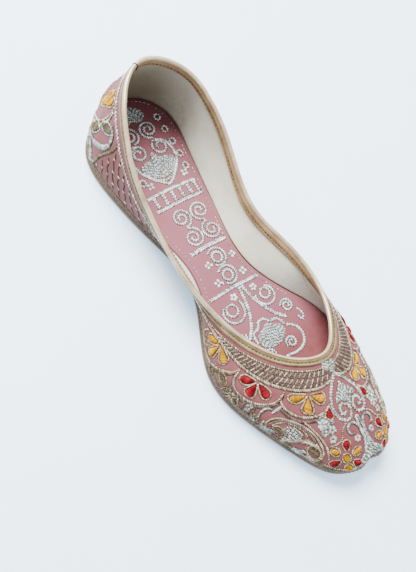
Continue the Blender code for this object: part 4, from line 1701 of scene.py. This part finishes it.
def stitch_back(work):
    """The seam up the middle of the heel, with a fine line at each side."""
    rise = np.linspace(5.0, wall_length(0.0) - 7.5, 80)
    rows = (0.0, "taupe", 1.5, 0.9), (0.9955, "cream", 0.8, 1.1), (0.0045, "cream", 0.8, 1.1)
    for turn, thread, width, pitch in rows:
        places = by_foot(np.stack([np.full(len(rise), turn), rise], axis=-1))
        rope(work, upper_cloth, places, thread, width=width, pitch=pitch, slant=0.3)


def stitch_welt():
    """A row of small stitches round the welt's edge."""
    work = Threads("welt", "welt leather")
    turns = np.linspace(0, 1, 2400)
    height = SOLE_THICKNESS + WELT_THICKNESS / 2 + GAP
    path = edge_at(turns, 0.0, height)
    out = np.concatenate([edge_outward(turns), np.zeros((len(turns), 1))], axis=-1)
    seam(work, path, out, 2.3, 1.5, 0.6, 0.22)
    return work


def stitch_upper():
    """All stitches of the upper, the outer side first."""
    work = Threads("upper", "embroidered cloth")
    for mirror in (False, True):
        side = Side(work, mirror)
        stitch_crescent(side)
        stitch_flowers(side)
        stitch_cells(side)
        stitch_middle(side)
        stitch_leaves(side)
        stitch_heel(side)
        stitch_sides(side)
    stitch_back(work)
    return work


# The insole's embroidery, charted in millimetres from the heel's back

EYELET = 1.7
RIM_INSET = 5.6
RIM_FRONT = 150.0


def stitch_insole():
    """Curls, scrolls, bars and stars of pearl thread, eyelets, and a silver row along the rear edge."""
    work = Threads("insole", "insole cloth")

    def line(points, width=1.5, closed=False):
        plait(work, insole_cloth, by_insole(smooth_line(points, closed)), "pearl", width=width)

    def curl(centre, wide, narrow, start, turns, width=1.4):
        places = by_insole(spiral(centre, wide, narrow, start, turns))
        rope(work, insole_cloth, places, "pearl", width=width * 1.15, pitch=1.25, slant=0.95, painted_shade=0.2)

    def filled(outline, angle, **choices):
        fill(work, insole_cloth, by_insole, smooth_line(outline, True, 5), "pearl", angle=angle, **choices)

    def star(x, back, radius, petals=5, start=0.0):
        floret(work, insole_cloth, by_insole, np.array((x, back)), radius, "pearl", petals, start)

    filled([
        (1.5, 10), (6.5, 11.5), (10, 15), (10.5, 19), (6, 21.5), (1.5, 20), (-3, 21.5), (-7.5, 19), (-7, 15),
        (-3.5, 11.5),
    ], 70)
    middle = 1.6
    for sign in (-1, 1):
        curl((middle + sign * 6.4, 27.4), 5.8, 1.1, 90, sign * 1.9, width=1.25)
        curl((middle + sign * 7.4, 39.4), 5.2, 1.6, 250, -sign * 1.3, width=1.4)
        bulge = [(6.6, 34.8), (11.6, 37.6), (13.4, 43.6), (12.2, 50.2), (8.4, 55.6), (3.6, 60.0), (0, 62.6)]
        line(np.array(bulge) * [sign, 1] + [middle, 0])
        under = [(12.0, 50.6), (9.0, 54.4), (5.0, 57.8), (0, 59.8)]
        line(np.array(under) * [sign, 1] + [middle, 0], width=1.1)
        curl((middle + sign * 6.2, 83.6), 6.1, 1.1, 90, sign * 1.85, width=1.35)
        curl((middle + sign * 6.2, 96.8), 6.1, 1.1, -90, -sign * 1.85, width=1.35)
        star(middle + sign * 11.6, 59.6, 2.6, 4, 45)
        star(middle + sign * 8.2, 114.6, 2.4, 4, 20)
        star(middle + sign * 8.6, 125.8, 2.6, 4, 20)
        for back in (22.5, 31.0, 39.5, 48.0, 56.0):
            reach = 15.8 if back < 50 else 14.6
            x = middle + sign * reach
            eyelet = spiral((0, 0), EYELET, EYELET, 0, 1, 14)[:-1] * [1, 1.2] + [x, back]
            line(eyelet, width=0.9, closed=True)
            starts, outs = insole_cloth(by_insole(np.array([(x, back - 1.2)])), 0.00004)
            ends, _ = insole_cloth(by_insole(np.array([(x, back + 1.2)])), 0.00004)
            work.add("gold", starts, ends, outs, 1.1 * MM, 0.12 * MM, 0.45)
    filled([
        (1.6, 41), (4.6, 45), (8.6, 45.6), (12.4, 48), (11.4, 53), (7, 56.6), (1.6, 58), (-3.8, 56.6),
        (-8.2, 53), (-9.2, 48), (-5.4, 45.6), (-1.4, 45),
    ], 80)
    line([(-16.0, 66.0), (0.0, 65.2), (16.4, 65.6)], width=1.9)
    line([(-15.0, 75.0), (0.0, 74.4), (16.0, 74.4)], width=1.9)
    for rung in (-12.4, -6.4, -0.6, 4.8, 10.2, 15.0):
        line([(rung, 66.8), (rung, 73.4)], width=1.9)
    line([(-12.0, 105.0), (0.0, 104.4), (12.0, 104.4)], width=2.3)
    line([(-16.6, 132.2), (0.0, 131.4), (17.0, 131.8)], width=1.9)
    for back in (112.4, 124.0):
        curl((0.8, back), 3.0, 3.0, 0, 1.0, width=1.5)
        curl((0.8, back), 5.6, 5.0, -140, 0.75, width=1.3)
        line([(-3.4, back + 3.0), (-6.0, back + 2.4)], width=1.6)
    line([(2.6, 133.0), (1.8, 141.0), (0.0, 148.5), (-3.6, 155.4), (-8.6, 161.4)], width=1.8)
    line([(4.6, 133.0), (6.6, 141.0), (9.4, 148.0), (13.2, 154.6), (18.6, 160.0)], width=1.8)
    curl((-8.2, 143.4), 7.4, 5.6, 330, 0.72, width=1.4)
    curl((-8.2, 142.6), 3.4, 3.4, 0, 1.0, width=1.4)
    curl((14.8, 143.4), 6.6, 4.8, 200, -0.74, width=1.4)
    curl((14.8, 142.6), 3.0, 3.0, 0, 1.0, width=1.4)
    star(-3.2, 136.6, 2.5, 5, 100)
    star(10.4, 136.6, 2.5, 5, 80)
    curl((22.4, 154.6), 4.0, 1.2, 200, 1.6, width=1.3)
    curl((-12.4, 158.4), 3.4, 1.2, -20, 1.5, width=1.3)
    line([(27.0, 158.6), (28.4, 162.6), (26.4, 165.8), (24.8, 162.6)], width=1.1)
    line([
        (-5.6, 165.2), (-5.0, 159.4), (-0.6, 157.8), (1.4, 154.8), (5.4, 154.6), (8.0, 157.2), (12.6, 158.2),
        (15.2, 163.0),
    ], width=1.5)
    filled([
        (-4, 167), (-2.8, 161.4), (1.4, 159.4), (5, 157.4), (8.6, 159.6), (12.4, 161.6), (13.4, 165.8),
        (9.6, 169.8), (4.6, 171), (-0.6, 170.2),
    ], 60)
    line([
        (15.8, 163.6), (20.4, 167.0), (21.6, 172.6), (18.6, 177.6), (12.6, 179.6), (6.6, 178.8),
    ], width=1.5)
    curl((12.6, 173.4), 3.6, 1.0, 160, 1.5, width=1.3)
    curl((-2.6, 173.6), 3.4, 1.0, 20, -1.5, width=1.3)
    line([(6.6, 178.8), (0.0, 179.4), (-6.6, 176.6), (-9.6, 171.0), (-7.4, 166.2)], width=1.5)
    stitch_turns = np.linspace(0.02, 0.98, 500)
    plan = edge_at(stitch_turns, RIM_INSET * MM, 0)[:, :2]
    kept = plan[plan[:, 1] > LENGTH / 2 - RIM_FRONT * MM]
    for half in (kept[kept[:, 0] < 0.002], kept[kept[:, 0] >= 0.002]):
        half = half[np.argsort(half[:, 1])]
        running(work, insole_cloth, half, "silver", length=1.7, gap=0.8, width=0.4)
    return work


def make_embroidery():
    """Threads as (dark, middle, pale, roughness, metallic), and every stitch laid with them."""
    threads = {
        "silver": ((0.048, 0.058, 0.050), (0.27, 0.315, 0.285), (0.72, 0.80, 0.75), 0.38, 0.2),
        "chain": ((0.100, 0.072, 0.064), (0.42, 0.36, 0.34), (0.82, 0.76, 0.73), 0.38, 0.15),
        "pearl": ((0.105, 0.120, 0.120), (0.55, 0.64, 0.635), (0.86, 0.95, 0.94), 0.38, 0.15),
        "cream": ((0.060, 0.038, 0.018), (0.36, 0.27, 0.165), (0.76, 0.64, 0.45), 0.40, 0.15),
        "gold": ((0.018, 0.013, 0.004), (0.088, 0.066, 0.024), (0.25, 0.20, 0.090), 0.42, 0.25),
        "pale_gold": ((0.050, 0.050, 0.032), (0.26, 0.26, 0.17), (0.66, 0.67, 0.52), 0.40, 0.2),
        "taupe": ((0.026, 0.015, 0.011), (0.088, 0.054, 0.043), (0.21, 0.145, 0.12), 0.50, 0.1),
        "yellow": ((0.17, 0.055, 0.0), (0.52, 0.245, 0.0), (0.76, 0.43, 0.0), 0.7, 0.0),
        "red": ((0.050, 0.0, 0.003), (0.240, 0.002, 0.010), (0.46, 0.010, 0.024), 0.5, 0.0),
        # Painted shade: dark grey rows under the fills, showing between their stitches
        "painted_shade_grey": ((0.036, 0.038, 0.034), (0.075, 0.080, 0.072), (0.125, 0.135, 0.122), 0.6, 0.0),
        "seam": ((0.025, 0.012, 0.005), (0.070, 0.038, 0.015), (0.16, 0.095, 0.042), 0.5, 0.0),
        "line": ((0.010, 0.004, 0.003), (0.020, 0.008, 0.006), (0.040, 0.018, 0.014), 0.6, 0.0),
        # Painted shade: the dark strips at the edges of ropes and plaits; also the dark ground under the
        # crescent's bars
        "shade": ((0.024, 0.015, 0.012), (0.050, 0.032, 0.026), (0.080, 0.054, 0.044), 0.7, 0.0),
    }
    finishes = {name: make_thread(name + " thread", *look) for name, look in threads.items()}
    stitch_upper().make(finishes)
    stitch_insole().make(finishes)
    stitch_binding().make(finishes)
    stitch_welt().make(finishes)


# Camera, floor and light

IMAGE_WIDTH, IMAGE_HEIGHT = 416, 572
FOCAL_PIXELS = 755.5
SENSOR = 36.0
CAMERA_PLACE = (-0.1919, -0.0578, 0.3734)
HEADING, PITCH, ROLL = math.radians(18.28), math.radians(-63.15), math.radians(41.5)


def make_camera():
    """The camera at the photograph's place, turned as it was."""
    data = bpy.data.cameras.new("camera")
    data.sensor_width = SENSOR
    data.lens = FOCAL_PIXELS * SENSOR / IMAGE_HEIGHT
    data.clip_start = 0.01
    camera = bpy.data.objects.new("camera", data)
    level_share = math.cos(PITCH)
    across, along = level_share * math.cos(HEADING), level_share * math.sin(HEADING)
    forward = Vector((across, along, math.sin(PITCH)))
    level = forward.cross(Vector((0, 0, 1))).normalized()
    above = level.cross(forward)
    right = math.cos(ROLL) * level + math.sin(ROLL) * above
    up = right.cross(forward)
    turn = Matrix((right, up, -forward)).transposed().to_4x4()
    camera.matrix_world = Matrix.Translation(CAMERA_PLACE) @ turn
    bpy.context.scene.collection.objects.link(camera)
    bpy.context.scene.camera = camera


def make_floor():
    finish = Finish("floor", 0.7)
    grain = finish.noise(finish.place(), 0.02, 3)
    colour = finish.ramp(grain, (0.3, (0.75, 0.86, 0.98)), (0.7, (0.79, 0.89, 1.0)))
    finish.put(finish.shader, {"Base Color": colour})
    finish.put(finish.shader, {"Emission Color": (0.48, 0.77, 1.0, 1), "Emission Strength": 0.95})
    size = 2.0
    corners = [(-size, -size, 0), (size, -size, 0), (size, size, 0), (-size, size, 0)]
    mesh = bpy.data.meshes.new("floor")
    mesh.from_pydata(corners, [], [(0, 1, 2, 3)])
    mesh.materials.append(finish.material)
    floor = bpy.data.objects.new("floor", mesh)
    floor.location.z = -0.0002
    bpy.context.scene.collection.objects.link(floor)


def make_light(name, place, size, power, colour):
    """A round lamp that looks at the origin."""
    data = bpy.data.lights.new(name, "AREA")
    data.shape = "DISK"
    data.size = size
    data.energy = power
    data.color = colour
    light = bpy.data.objects.new(name, data)
    place = Vector(place)
    light.location = place
    light.rotation_mode = "QUATERNION"
    light.rotation_quaternion = (-place).to_track_quat("-Z", "Y")
    bpy.context.scene.collection.objects.link(light)


def make_studio():
    make_floor()
    make_light("key", (0.0, 0.75, 1.05), 0.8, 84, (1.0, 0.985, 0.96))
    make_light("fill", (0.5, -0.9, 0.9), 1.2, 6, (0.92, 0.96, 1.0))
    world = bpy.data.worlds.new("soft light")
    bpy.context.scene.world = world
    world.use_nodes = True
    sky = world.node_tree.nodes["Background"].inputs
    sky["Color"].default_value = (0.90, 0.94, 1.0, 1)
    sky["Strength"].default_value = 0.85


def main():
    make_camera()
    make_studio()
    make_outsole()
    make_welt()
    make_upper()
    make_insole()
    make_binding()
    make_embroidery()


main()
